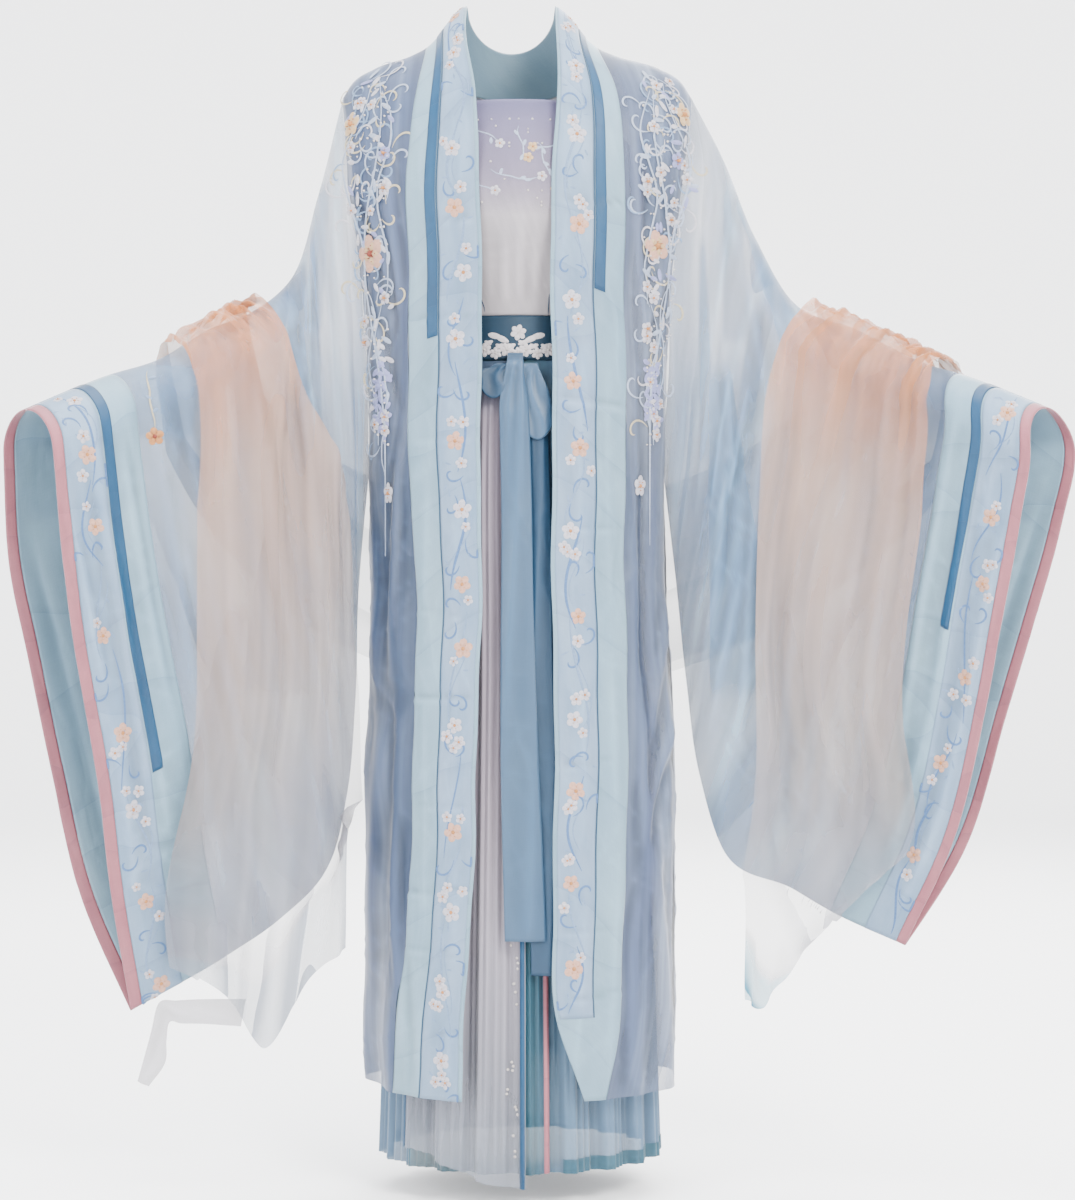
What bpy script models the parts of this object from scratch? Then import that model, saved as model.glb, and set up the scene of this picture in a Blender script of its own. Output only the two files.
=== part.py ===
"""A hanfu set as it is worn: a sheer robe with very large sleeves, a bodice, a tied skirt and a long scarf.

Metres, +Z up, the front faces -Y and the origin lies between the shoulders, at the base of the neck.
Sides are the wearer's: the right side is at -X. Each cloth is a grid of points on its outer face, with
rows that run down and columns that run to the right as seen from outside, and a wall behind it.
"""

import math

import bpy
import numpy as np

# Walls and gaps
CLOTH = 0.0015
TRIM = 0.0012
SEAM = 0.0007
CURVED_SEAM = 0.0010
ARM_SEAM = 0.0014
LAID_ON = 0.0004

# The robe's outline
RIGHT, LEFT = -1, 1
SHOULDER_ROUND = 0.11
SHOULDER_X = 0.205
NECK_X = 0.052
COLLAR_SEAM_X = 0.100
ARMPIT_Z = -0.484
ROBE_HEM_Z = -1.20
ARMHOLE_OPEN = math.radians(24)
RIDGE_WIDE = SHOULDER_X / math.cos(ARMHOLE_OPEN)
NECK_BACK_Y = 0.085
NECK_DROP = 0.048
COLLAR_TOP_Y = 0.070
COLLAR_TOP_DIP = 0.040

# The skirt and the waist
WAIST_TOP_Z = -0.312
WAIST_LOW_Z = -0.363
SKIRT_HEM_Z = -1.285
HEM_BAND = 0.016
PLEATS = 20
LACE_REACH = math.radians(38)
BODICE_TOP_Z = -0.125
BODICE_ARCH = 0.060
WAIST_LIFT = 0.0012
HEM_LACE = 0.0035
LACE_TOP = 0.0155
LACE_SCALLOP = 0.0045
LACE_CROWN = 0.0085
PETAL = 0.0012

# Height of the shoulder line at each distance from the middle
RIDGE = (
    # out, height
    (0.040, 0.068),
    (0.052, 0.062),
    (0.072, 0.044),
    (0.088, 0.024),
    (0.100, 0.013),
    (0.115, 0.005),
    (0.165, -0.0115),
    (0.193, -0.029),
    (0.205, -0.045),
)

ROBE = (
    # height, half_width, front_depth, back_depth, fold
    (-1.200, 0.180, 0.159, 0.152, 0.0055),
    (-1.100, 0.182, 0.156, 0.150, 0.0055),
    (-0.900, 0.181, 0.149, 0.142, 0.0050),
    (-0.650, 0.174, 0.140, 0.128, 0.0035),
    (-0.484, 0.172, 0.134, 0.118, 0.0020),
    (-0.320, 0.178, 0.129, 0.108, 0.0000),
    (-0.200, 0.188, 0.127, 0.108, 0.0000),
    (-0.120, 0.196, 0.124, 0.105, 0.0000),
    (-0.046, 0.205, 0.108, 0.095, 0.0000),
    (0.062, 0.205, 0.085, 0.085, 0.0000),
)

# Inner edge of each lapel and its seam to the front
LAPELS = {
    RIGHT: (
        # height, inner, seam
        (-1.200, 0.063, 0.147),
        (-1.000, 0.054, 0.132),
        (-0.900, 0.048, 0.126),
        (-0.700, 0.042, 0.120),
        (-0.300, 0.040, 0.124),
        (-0.120, 0.042, 0.122),
        (-0.050, 0.047, 0.114),
        (0.009, 0.052, 0.100),
        (0.062, 0.052, 0.100),
    ),
    LEFT: (
        # height, inner, seam
        (-1.200, 0.074, 0.096),
        (-1.112, 0.044, 0.112),
        (-1.000, 0.042, 0.118),
        (-0.700, 0.041, 0.121),
        (-0.300, 0.040, 0.124),
        (-0.120, 0.042, 0.122),
        (-0.050, 0.047, 0.114),
        (0.009, 0.052, 0.100),
        (0.062, 0.052, 0.100),
    ),
}

BODICE = (
    # height, half_width, front_depth, back_depth
    (-0.312, 0.122, 0.0950, 0.088),
    (-0.240, 0.134, 0.1120, 0.090),
    (-0.170, 0.150, 0.1257, 0.093),
    (-0.120, 0.150, 0.1177, 0.092),
    (-0.050, 0.140, 0.0880, 0.088),
)

SKIRT = (
    # height, half_width, front_depth, back_depth, pleat, overskirt
    (-1.300, 0.160, 0.1320, 0.130, 0.0060, 0.0045),
    (-1.200, 0.157, 0.1280, 0.127, 0.0055, 0.0045),
    (-1.000, 0.150, 0.1210, 0.120, 0.0048, 0.0042),
    (-0.800, 0.143, 0.1140, 0.112, 0.0040, 0.0038),
    (-0.600, 0.136, 0.1060, 0.103, 0.0028, 0.0034),
    (-0.450, 0.129, 0.1000, 0.095, 0.0014, 0.0028),
    (-0.363, 0.122, 0.0940, 0.088, 0.0000, 0.0022),
)

# Each sleeve from the armhole, at 0, to the cuff, at 1: the line along the top of the arm, the seam
# below it, half the width of the hollow between them, and how far the arm is turned forward, in degrees
SLEEVES = {
    RIGHT: (
        # along, top_out, top_y, top_z, low_out, low_y, low_z, half_hollow, turned
        (0.00, 0.205, 0.000, -0.045, 0.172, 0.000, -0.484, 0.048, 0),
        (0.20, 0.236, 0.000, -0.165, 0.187, 0.000, -0.640, 0.050, 4),
        (0.36, 0.268, 0.000, -0.260, 0.190, 0.000, -0.757, 0.050, 12),
        (0.48, 0.318, -0.012, -0.302, 0.198, -0.001, -0.862, 0.050, 22),
        (0.56, 0.353, -0.030, -0.318, 0.213, -0.003, -0.930, 0.050, 30),
        (0.71, 0.413, -0.075, -0.361, 0.280, -0.019, -1.012, 0.047, 36),
        (0.82, 0.462, -0.110, -0.381, 0.341, -0.038, -1.053, 0.052, 38),
        (1.00, 0.546, -0.170, -0.425, 0.444, -0.075, -1.109, 0.056, 38),
    ),
    LEFT: (
        # along, top_out, top_y, top_z, low_out, low_y, low_z, half_hollow, turned
        (0.00, 0.205, 0.000, -0.045, 0.172, 0.000, -0.484, 0.048, 0),
        (0.135, 0.243, 0.000, -0.118, 0.186, 0.000, -0.603, 0.050, 3),
        (0.30, 0.282, 0.000, -0.212, 0.199, 0.000, -0.733, 0.050, 8),
        (0.45, 0.333, -0.004, -0.293, 0.215, 0.000, -0.845, 0.048, 18),
        (0.56, 0.389, -0.030, -0.318, 0.245, 0.000, -0.932, 0.044, 28),
        (0.74, 0.469, -0.090, -0.367, 0.325, -0.018, -0.977, 0.044, 36),
        (0.82, 0.503, -0.120, -0.381, 0.366, -0.030, -1.000, 0.048, 38),
        (1.00, 0.591, -0.170, -0.423, 0.447, -0.075, -1.034, 0.052, 38),
    ),
}

# How the mouth of each sleeve hangs: how far it swings out of the straight line from the arm to the
# seam below, and how far it stays open as a share of the hollow
MOUTH = {
    RIGHT: (
        # share, swings_out, open
        (0.00, 0.000, 1.00),
        (0.10, 0.008, 1.12),
        (0.24, 0.018, 1.20),
        (0.40, 0.019, 1.06),
        (0.60, 0.017, 1.00),
        (0.82, 0.016, 0.80),
        (1.00, 0.000, 0.50),
    ),
    LEFT: (
        # share, swings_out, open
        (0.00, 0.000, 1.00),
        (0.08, 0.020, 1.06),
        (0.20, 0.027, 1.00),
        (0.40, 0.031, 0.76),
        (0.55, 0.033, 0.54),
        (0.84, 0.028, 0.42),
        (1.00, 0.000, 0.40),
    ),
}
ARM_ROUND = 0.045
LEAST_HOLLOW = CLOTH + 0.0006
BELOW_SLEEVE = 0.40
NECK_ASIDE = -0.007
HANGS_ASIDE = 0.007
SKIRT_ASIDE = 0.004
SLEEVE_BLEND = 0.30
CUFF_FROM = 0.82
CUFF_SEAM = 0.0016
CUFF_COLUMNS = (CUFF_FROM, 0.878, 0.899, 0.902, 0.940, 0.9785)
CUFF_GUARD = (1, 3)
CUFF_PRINT = (3, 6)
BINDING_COLUMNS = (0.9795, 0.990, 1.0)
BINDING_LIFT = 0.0003
SLEEVE_FOLD = 0.0055
SLEEVE_FOLD_PITCH = 0.115
FOLDS_END = 0.83

# Places down the robe and its sleeves: 0 is the shoulder line, 2 the armpit and 3 the hem
TO_ARMPIT = (1e-6, 0.1, 0.35, 0.6, 0.82, 1.0, 1.26, 1.52, 1.655, 1.83, 2.0)
TO_HEM = (2.14, 2.28, 2.42, 2.56, 2.72, 2.878, 3.0)
BACK_SIDE_COLUMNS = (0, 0.10, 0.36, 0.68, 1.0)
FRONT_COLUMNS = (0, 0.25, 0.50, 0.74, 0.92, 1.0)
LAPEL_COLUMNS = (0, 0.05, 0.30, 0.54, 0.57, 0.72, 0.86, 1.0)
LAPEL_PRINT = (1, 4)
LAPEL_GUARD = (4, 6)

# The scarf's edges down the front of each sleeve, as places along the sleeve, and how far down each
# column of its end reaches, where 2 is the sleeve's lower seam
SCARF = {
    RIGHT: (
        # down, inner, outer
        (0.0, 0.45, 0.66),
        (1.0, 0.38, 0.73),
        (1.5, 0.33, 0.83),
        (1.8, 0.44, 0.92),
        (2.0, 0.50, 0.93),
        (2.4, 0.52, 0.91),
    ),
    LEFT: (
        # down, inner, outer
        (0.0, 0.47, 0.78),
        (1.0, 0.45, 0.82),
        (1.5, 0.52, 0.85),
        (1.75, 0.58, 0.93),
        (2.0, 0.62, 0.89),
        (2.4, 0.62, 0.77),
    ),
}
SCARF_END = {
    RIGHT: ((0.0, 2.37), (0.30, 2.24), (0.40, 2.27), (0.57, 2.33), (0.75, 2.10), (1.0, 1.93)),
    LEFT: ((0.0, 2.37), (0.35, 2.36), (0.62, 2.18), (0.85, 1.96), (1.0, 1.80)),
}
SCARF_ROWS = (1e-6, 0.1, 0.35, 0.6, 0.82, 1.0, 1.26, 1.52, 1.68)
SCARF_END_ROWS = (0.33, 0.66, 1.0)
SCARF_BACK_ROWS = (0.1, 0.35, 0.6, 0.82)
SCARF_LIFT_TOP = 0.0027
SCARF_LIFT_LOW = 0.0095
SCARF_FOLD = 0.0045
SCARF_TAIL = (
    # upper_x, upper_z, lower_x, lower_z, y
    (-0.315, -1.101, -0.321, -1.133, -0.0415),
    (-0.362, -1.100, -0.358, -1.129, -0.0500),
    (-0.393, -1.101, -0.388, -1.128, -0.0530),
    (-0.414, -1.103, -0.402, -1.126, -0.0550),
    (-0.423, -1.136, -0.405, -1.147, -0.0565),
    (-0.431, -1.165, -0.407, -1.173, -0.0570),
    (-0.439, -1.194, -0.426, -1.200, -0.0570),
)
SCARF_BEHIND = ((0.205, 0.180, -0.560), (0.260, 0.185, -0.840))


def column(table, index, at):
    """A smooth curve through one column of a table, read at heights or places given by the first one."""
    rows = np.array(table, float)
    key, value = rows[:, 0], rows[:, index]
    slope = np.gradient(value, key)
    at = np.clip(np.asarray(at, float), key[0], key[-1])
    i = np.clip(np.searchsorted(key, at) - 1, 0, len(key) - 2)
    step = key[i + 1] - key[i]
    t = (at - key[i]) / step
    return (
        (2 * t**3 - 3 * t**2 + 1) * value[i]
        + (t**3 - 2 * t**2 + t) * step * slope[i]
        + (3 * t**2 - 2 * t**3) * value[i + 1]
        + (t**3 - t**2) * step * slope[i + 1]
    )


def ease(t):
    t = np.clip(t, 0, 1)
    return t * t * (3 - 2 * t)


def mix(a, b, share):
    return a + (b - a) * share


def grid(rows, columns):
    """Two arrays over rows and columns."""
    return np.meshgrid(np.asarray(rows, float), np.asarray(columns, float), indexing="ij")


def place(x, y, z):
    return np.stack(np.broadcast_arrays(x, y, z), axis=-1)


def outward(points):
    """Unit normals of a grid of points, facing out."""
    down = np.gradient(points, axis=0)
    across = np.gradient(points, axis=1)
    normal = np.cross(down, across)
    return normal / np.maximum(np.linalg.norm(normal, axis=-1, keepdims=True), 1e-9)


def moved_out(points, distance):
    return points + outward(points) * np.asarray(distance)[..., None]


def robe_fall(down, top):
    """Height, and share of the full depth, at a place down the robe: 1 is below the shoulder's rounding,
    2 is the armpit and 3 the hem."""
    turn = np.clip(down, 0, 1) * math.pi / 2
    height = top - SHOULDER_ROUND * (1 - np.cos(turn))
    shoulder_low = top - SHOULDER_ROUND
    height = np.where(down > 1, mix(shoulder_low, ARMPIT_Z, np.clip(down - 1, 0, 1)), height)
    height = np.where(down > 2, mix(ARMPIT_Z, ROBE_HEM_Z, np.clip(down - 2, 0, 1)), height)
    return height, np.sin(turn)


def armhole(height):
    """Half the angle that the armhole takes out of the robe's side."""
    shoulder_z = column(RIDGE, 1, SHOULDER_X)
    share = np.clip((shoulder_z - height) / (shoulder_z - ARMPIT_Z), 0, 1)
    return ARMHOLE_OPEN * (1 - share**3) ** 0.7


def robe_wide(height):
    """Half the robe's width, were its ellipse whole: the armhole's edge is at the width in the table."""
    return column(ROBE, 1, height) / np.cos(armhole(height))


def robe_folds(angle, height):
    """Long soft folds that deepen towards the hem, none of them in the stiff lapels."""
    loose = ease((np.abs(np.sin(angle)) - 0.70) / 0.2 + (np.cos(angle) < 0))
    wave = np.sin(7 * angle + 0.6) + 0.4 * np.sin(11 * angle + 2.0 + 1.5 * height)
    return column(ROBE, 4, height) * loose * wave / 1.4


def aside(x, height):
    """The collar sits a little to the wearer's right, and the robe below hangs to the left."""
    neck = ease((height + 0.06) / 0.09) * (1 - ease((np.abs(x) - 0.10) / 0.08))
    hang = ease((-0.45 - height) / 0.3) * ease(np.abs(x) / 0.17)
    return x + NECK_ASIDE * neck + HANGS_ASIDE * hang


def robe_at(angle, height, over, edge_y=0.0):
    """A point of the robe at an angle from the front, where over is the share of its full depth."""
    wide = robe_wide(height) + robe_folds(angle, height)
    deep = np.where(np.cos(angle) > 0, column(ROBE, 2, height), column(ROBE, 3, height))
    deep = deep + robe_folds(angle, height)
    y = mix(edge_y, -deep * np.cos(angle), over)
    y = y - CURVED_SEAM / 2 * np.sign(np.cos(angle))
    return place(aside(wide * np.sin(angle), height), y, height)


def lapel_points(side, across, down):
    """The collar's band, from its inner edge at 0 to its seam at 1, down from the side of the neck."""
    down, across = grid(down, across)
    top = column(RIDGE, 1, mix(NECK_X, COLLAR_SEAM_X, across))
    height, over = robe_fall(down, top)
    wide = robe_wide(height)
    inner = np.arcsin(column(LAPELS[side], 1, height) / wide)
    seam = np.arcsin(column(LAPELS[side], 2, height) / wide) - SEAM / 2 / wide
    points = robe_at(side * mix(inner, seam, across), height, over)
    return points if side == LEFT else points[:, ::-1]


def front_points(side, across, down):
    """The front, from its seam to the collar at 0 to the armhole and side seam at 1."""
    down, across = grid(down, across)
    seam_top = math.asin(COLLAR_SEAM_X / RIDGE_WIDE)
    top = column(RIDGE, 1, RIDGE_WIDE * np.sin(mix(seam_top, math.pi / 2 - ARMHOLE_OPEN, across)))
    height, over = robe_fall(down, top)
    wide = robe_wide(height)
    seam = np.arcsin(column(LAPELS[side], 2, height) / wide) + SEAM / 2 / wide
    outer = math.pi / 2 - armhole(height)
    points = robe_at(side * mix(seam, outer - 1e-6, across), height, over)
    return points if side == LEFT else points[:, ::-1]


def back_ridge_x(across):
    """Where the back's columns meet the shoulder line."""
    return RIDGE_WIDE * np.sin(mix(math.pi / 2 + ARMHOLE_OPEN, 3 * math.pi / 2 - ARMHOLE_OPEN, across))


def back_points(across, down):
    """The back, from the wearer's left side at 0 to the right side at 1, under the back of the neck."""
    down, across = grid(down, across)
    x_top = back_ridge_x(across)
    neck = np.sqrt(np.clip(1 - (x_top / COLLAR_SEAM_X) ** 2, 0, 1))
    top = np.where(neck > 0, column(RIDGE, 1, COLLAR_SEAM_X), column(RIDGE, 1, np.abs(x_top)))
    height, over = robe_fall(down, top - NECK_DROP * neck)
    open_by = armhole(height)
    angle = mix(math.pi / 2 + open_by + 1e-6, 3 * math.pi / 2 - open_by - 1e-6, across)
    return robe_at(angle, height, over, NECK_BACK_Y * neck)


def collar_back_points(across, down):
    """The stand of the collar behind the neck, down from its top edge, on the same columns as the back."""
    down, across = grid(down, across)
    turn = np.arccos(np.clip(back_ridge_x(across) / COLLAR_SEAM_X, -1, 1))
    low_z = column(RIDGE, 1, COLLAR_SEAM_X) - NECK_DROP * np.sin(turn) + CURVED_SEAM
    top_z = column(RIDGE, 1, NECK_X) - COLLAR_TOP_DIP * np.sin(turn)
    x = mix(NECK_X, COLLAR_SEAM_X, down) * np.cos(turn)
    y = mix(COLLAR_TOP_Y, NECK_BACK_Y, down) * np.sin(turn) + CURVED_SEAM
    z = mix(top_z, low_z, down)
    return place(aside(x, z), y, z)


def sleeve_lines(side, along):
    """Top line, lower seam and forward direction of a sleeve at places along it."""
    table = SLEEVES[side]
    top = place(side * column(table, 1, along), column(table, 2, along), column(table, 3, along))
    low = place(side * column(table, 4, along), column(table, 5, along), column(table, 6, along))
    turned = np.radians(column(table, 8, along))
    return top, low, place(-side * np.sin(turned), -np.cos(turned), 0 * turned)


def sleeve_hang(side, along, down):
    """A sleeve as it hangs from the arm. Down runs from 0 at the top to 2 at the lower seam, and on below
    it, and is negative on the back layer."""
    top, low, forward = sleeve_lines(side, along)
    layer = np.where(down < 0, -1.0, 1.0)
    height, _ = robe_fall(np.clip(np.abs(down), 0, 2), column(RIDGE, 1, SHOULDER_X))
    share = (column(RIDGE, 1, SHOULDER_X) - height) / (column(RIDGE, 1, SHOULDER_X) - ARMPIT_Z)
    inside = np.clip(share, 0, 1)
    below = np.clip(np.abs(down) - 2, 0, None) * BELOW_SLEEVE
    long = np.linalg.norm(low - top, axis=-1)
    cap = np.sqrt(1 - (1 - np.clip(inside * long / ARM_ROUND, 0, 1)) ** 2)
    at_mouth = ease((along - 0.35) / 0.55)
    hollow = column(SLEEVES[side], 7, along) * cap * mix(1.0, column(MOUTH[side], 2, inside), at_mouth)
    hollow = hollow * (1 - inside ** mix(3.5, 8.0, at_mouth))
    hollow = hollow + mix(CURVED_SEAM / 2, LEAST_HOLLOW, ease(inside / 0.9))
    middle = mix(top, low, inside[..., None])
    middle[..., 0] += side * column(MOUTH[side], 1, inside) * at_mouth
    middle[..., 2] -= below
    out = np.abs(middle[..., 0])
    wave = np.sin(2 * math.pi * out / SLEEVE_FOLD_PITCH + 0.8 * layer * (1 - inside))
    wave = wave + 0.4 * np.sin(2 * math.pi * out / (0.7 * SLEEVE_FOLD_PITCH) + 1.0 + 2 * inside)
    loose = ease(inside / 0.35) * ease(along / 0.18) * ease((FOLDS_END - along) / 0.25)
    shift = layer * hollow + SLEEVE_FOLD * loose * wave
    return middle + forward * shift[..., None]


def armhole_points(side, down):
    """The robe's edge round the armhole, where the sleeve starts."""
    front = front_points(side, [1.0], np.clip(down, 0, 2))
    back = back_points([0.0 if side == LEFT else 1.0], np.clip(-down, 0, 2))
    return np.where((down < 0)[:, None], back[:, 0], front[:, 0])


def sleeve_points(side, along, down, lift=0.0):
    """A layer of a sleeve: the armhole's shape at its start, then as it hangs. Down has one sign."""
    down, along = grid(down, along)
    points = sleeve_hang(side, along, down)
    start = sleeve_hang(side, 0 * down[:, :1], down[:, :1])
    edge = armhole_points(side, down[:, 0])[:, None]
    join = edge - start
    join[..., 0] += side * ARM_SEAM
    parting = (LEAST_HOLLOW - CURVED_SEAM / 2) * ease(np.abs(down[:, :1]) / 2)
    join[..., 1] -= np.sign(down[:, :1]) * parting
    points = points + join * (1 - ease(along / SLEEVE_BLEND))[..., None]
    is_front = down[-1, 0] > 0
    points = points if (side == LEFT) == is_front else points[:, ::-1]
    return moved_out(points, np.full(down.shape, lift)) if lift else points


def scarf_places(side, across, down):
    """How far along the sleeve each point of the scarf lies."""
    return mix(column(SCARF[side], 1, down), column(SCARF[side], 2, down), across)


def scarf_over_arm(side, across):
    """The scarf from its end in front of a sleeve, up over the arm and down behind it."""
    part, share = grid(SCARF_END_ROWS, across)
    end = mix(SCARF_ROWS[-1], column(SCARF_END[side], 1, share), part)
    front, _ = grid(SCARF_ROWS, across)
    behind, _ = grid(SCARF_BACK_ROWS, across)
    down = np.concatenate([end[::-1], front[::-1], -behind])
    share = across[None, :] + 0 * down
    flat = sleeve_hang(side, scarf_places(side, share, np.maximum(down, 0)), down)
    low = np.abs(down)
    lift = mix(SCARF_LIFT_TOP, SCARF_LIFT_LOW, ease(low / 0.9))
    wave = np.sin(2 * math.pi * 4 * share + 0.7 * low) + 0.5 * np.sin(2 * math.pi * 2.5 * share + 2)
    lift = lift + SCARF_FOLD * ease((low - 0.3) / 0.7) * (1.5 + wave) / 2
    return flat + outward(flat) * (-side * lift)[..., None]


def scarf_points(across, free):
    """The whole scarf, from its left end to its right one, with its outer edge first."""
    left, right = scarf_over_arm(LEFT, across), scarf_over_arm(RIGHT, across)
    behind = mix(np.array(SCARF_BEHIND[0]), np.array(SCARF_BEHIND[1]), across[None, :, None])
    t = free[:, None, None]
    swing = (1 - t) ** 3 * left[-1][None] + 3 * (1 - t) ** 2 * t * behind
    swing = swing + 3 * (1 - t) * t**2 * behind * np.array((-1, 1, 1)) + t**3 * right[-1][None]
    fold = np.sin(math.pi * t) * (1 + np.sin(2 * math.pi * 2.5 * across[None, :, None]))
    swing = swing + SCARF_FOLD * fold * np.array((0, 1.0, 0))
    return np.concatenate([left, swing[1:-1], right[::-1]])[:, ::-1]


def tube_points(table, angles, heights, extra=0.0):
    """Points round the body at the table's half width and depths, further out by extra."""
    wide = column(table, 1, heights) + extra
    deep = np.where(np.cos(angles) > 0, column(table, 2, heights), column(table, 3, heights)) + extra
    y = -deep * np.cos(angles) - CURVED_SEAM / 2 * np.sign(np.cos(angles))
    return place(wide * np.sin(angles), y, heights)


def pleat(angles):
    """Knife pleats: a sharp fold at one side of each and a slow return."""
    turn = angles * PLEATS
    return np.sin(turn) + 0.28 * np.sin(2 * turn)


def skirt_points(angles, heights, layer=0.0):
    heights, angles = grid(heights, angles) if np.ndim(heights) == 1 else (heights, angles)
    pleats = column(SKIRT, 4, heights) * pleat(angles)
    points = tube_points(SKIRT, angles, heights, pleats + layer * column(SKIRT, 5, heights))
    points[..., 0] += SKIRT_ASIDE * ease((-0.45 - heights) / 0.3)
    return points


def material(name, colour, roughness):
    made = bpy.data.materials.new(name)
    made.use_nodes = True
    shader = made.node_tree.nodes["Principled BSDF"]
    shader.inputs["Base Color"].default_value = (*colour, 1.0)
    shader.inputs["Roughness"].default_value = roughness
    made.diffuse_color = (*colour, 1.0)
    return made


def surface(name, points, cloth):
    """An open sheet of faces over a grid of points."""
    rows, columns = points.shape[:2]
    index = np.arange(rows * columns).reshape(rows, columns)
    quads = np.stack([index[:-1, :-1], index[1:, :-1], index[1:, 1:], index[:-1, 1:]], axis=-1)
    mesh = bpy.data.meshes.new(name)
    mesh.from_pydata(points.reshape(-1, 3).tolist(), [], quads.reshape(-1, 4).tolist())
    mesh.materials.append(cloth)
    mesh.shade_smooth()
    made = bpy.data.objects.new(name, mesh)
    PARTS.objects.link(made)
    made.parent = HELD_AT
    return made


def cloth_wall(name, points, cloth, wall=CLOTH):
    """A cloth with its wall behind the outer points."""
    made = surface(name, points, cloth)
    solid = made.modifiers.new("wall", "SOLIDIFY")
    solid.thickness = wall
    solid.offset = -1
    return made


def laid_on(name, points, rows, columns, cloth, height=0.0):
    """A strip that lies on some rows and columns of another cloth."""
    raised = moved_out(points, np.full(points.shape[:2], LAID_ON + TRIM) + height)
    return cloth_wall(name, raised[slice(*rows), slice(*columns)], cloth, TRIM)


def mirrored(columns, count, turned):
    """The same columns counted from the other side when a grid is turned."""
    return (count - columns[1], count - columns[0]) if turned else columns


def make_robe():
    down = np.array(TO_ARMPIT + TO_HEM)
    neck = 0.5 - math.asin(COLLAR_SEAM_X / RIDGE_WIDE) / (math.pi - 2 * ARMHOLE_OPEN)
    outer = np.array(BACK_SIDE_COLUMNS) * neck
    across_neck = np.linspace(neck, 1 - neck, 8)
    across_back = np.concatenate([outer, across_neck[1:], 1 - outer[::-1][1:]])
    cloth_wall("robe_back", back_points(across_back, down), SHEER)
    count = len(LAPEL_COLUMNS)
    print_end = {RIGHT: len(down), LEFT: len(down) - 1}
    guard_end = {RIGHT: 9, LEFT: 8}
    for side, name in ((RIGHT, "right"), (LEFT, "left")):
        cloth_wall("robe_front_" + name, front_points(side, FRONT_COLUMNS, down), SHEER)
        lapel = lapel_points(side, LAPEL_COLUMNS, down)
        cloth_wall("lapel_" + name, lapel, PALE)
        band = mirrored(LAPEL_PRINT, count, side == RIGHT)
        guard = mirrored(LAPEL_GUARD, count, side == RIGHT)
        laid_on("lapel_print_" + name, lapel, (0, print_end[side]), band, PRINT)
        laid_on("lapel_guard_" + name, lapel, (0, guard_end[side]), guard, TEAL)
    stand = collar_back_points(across_neck, LAPEL_COLUMNS)
    cloth_wall("collar_back", stand, PALE)
    laid_on("collar_print_back", stand, LAPEL_PRINT, (0, len(across_neck)), PRINT)
    laid_on("collar_guard_back", stand, LAPEL_GUARD, (0, len(across_neck)), TEAL)


def make_sleeves():
    along = np.linspace(0, CUFF_FROM - CUFF_SEAM, 15)
    count = len(CUFF_COLUMNS)
    guard_end = {RIGHT: 8, LEFT: 7}
    for side, name in ((RIGHT, "right"), (LEFT, "left")):
        for layer, which in ((1, "front"), (-1, "back")):
            down = layer * np.array(TO_ARMPIT)
            cloth_wall(f"sleeve_{which}_{name}", sleeve_points(side, along, down), SHEER)
            cuff = sleeve_points(side, CUFF_COLUMNS, down)
            cloth_wall(f"cuff_{which}_{name}", cuff, PALE)
            turned = (side == LEFT) != (layer == 1)
            guard = mirrored(CUFF_GUARD, count, turned)
            band = mirrored(CUFF_PRINT, count, turned)
            laid_on(f"cuff_guard_{which}_{name}", cuff, (0, guard_end[side]), guard, TEAL)
            laid_on(f"cuff_print_{which}_{name}", cuff, (0, len(down)), band, PRINT)
            binding = sleeve_points(side, BINDING_COLUMNS, down, BINDING_LIFT)
            cloth_wall(f"cuff_binding_{which}_{name}", binding, PINK, CLOTH + 2 * BINDING_LIFT)


def make_scarf():
    scarf = scarf_points(np.linspace(0, 1, 13), np.linspace(0, 1, 9))
    cloth_wall("scarf", scarf, SCARF_CLOTH, TRIM)
    tail = np.array(SCARF_TAIL)[:, None, :]
    upper, lower = tail[..., [0, 4, 1]], tail[..., [2, 4, 3]]
    cloth_wall("scarf_tail", np.concatenate([upper, lower], axis=1), SCARF_CLOTH, TRIM)


def make_bodice():
    rows = np.linspace(0, 1, 7)
    for which, angles in (
        ("front", np.linspace(-math.pi / 2 + 1e-6, math.pi / 2 - 1e-6, 17)),
        ("back", np.linspace(math.pi / 2 + 1e-6, 3 * math.pi / 2 - 1e-6, 13)),
    ):
        share, turn = grid(rows, angles)
        top = BODICE_TOP_Z + BODICE_ARCH * ease((np.cos(turn) - 0.25) / 0.75)
        heights = mix(top, WAIST_TOP_Z + SEAM, share)
        points = tube_points(BODICE, turn, heights)
        cloth_wall("bodice_" + which, points, CREAM)
        if which == "front":
            laid_on("bodice_overlay", points, (0, 4), (2, 15), MAUVE)


def make_waist():
    for which, start in (("front", -math.pi / 2), ("back", math.pi / 2)):
        angles = np.linspace(start + 1e-6, start + math.pi - 1e-6, 17)
        heights, turn = grid((WAIST_TOP_Z, WAIST_LOW_Z), angles)
        cloth_wall("waistband_" + which, tube_points(BODICE, turn, heights, WAIST_LIFT), TEAL)
    share, turn = grid(np.linspace(0, 1, 5), np.linspace(-LACE_REACH, LACE_REACH, 41))
    scallop = np.abs(np.sin(turn * 9.0))
    crown = np.exp(-((turn / math.radians(5)) ** 2))
    top = WAIST_TOP_Z - LACE_TOP + LACE_SCALLOP * scallop + LACE_CROWN * crown
    low = WAIST_LOW_Z + (1 - scallop) * HEM_LACE
    band = tube_points(BODICE, turn, mix(top, low, share), WAIST_LIFT)
    petal = PETAL * np.abs(np.sin(turn * 18.0) * np.sin(share * math.pi * 1.5 + 0.4))
    laid_on("lace_trim", band, (0, 5), (0, 41), LACE, petal)


def on_skirt(x, height, out):
    """A point in front of the skirt."""
    return place(x, -column(SKIRT, 2, height) - out, height)


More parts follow.
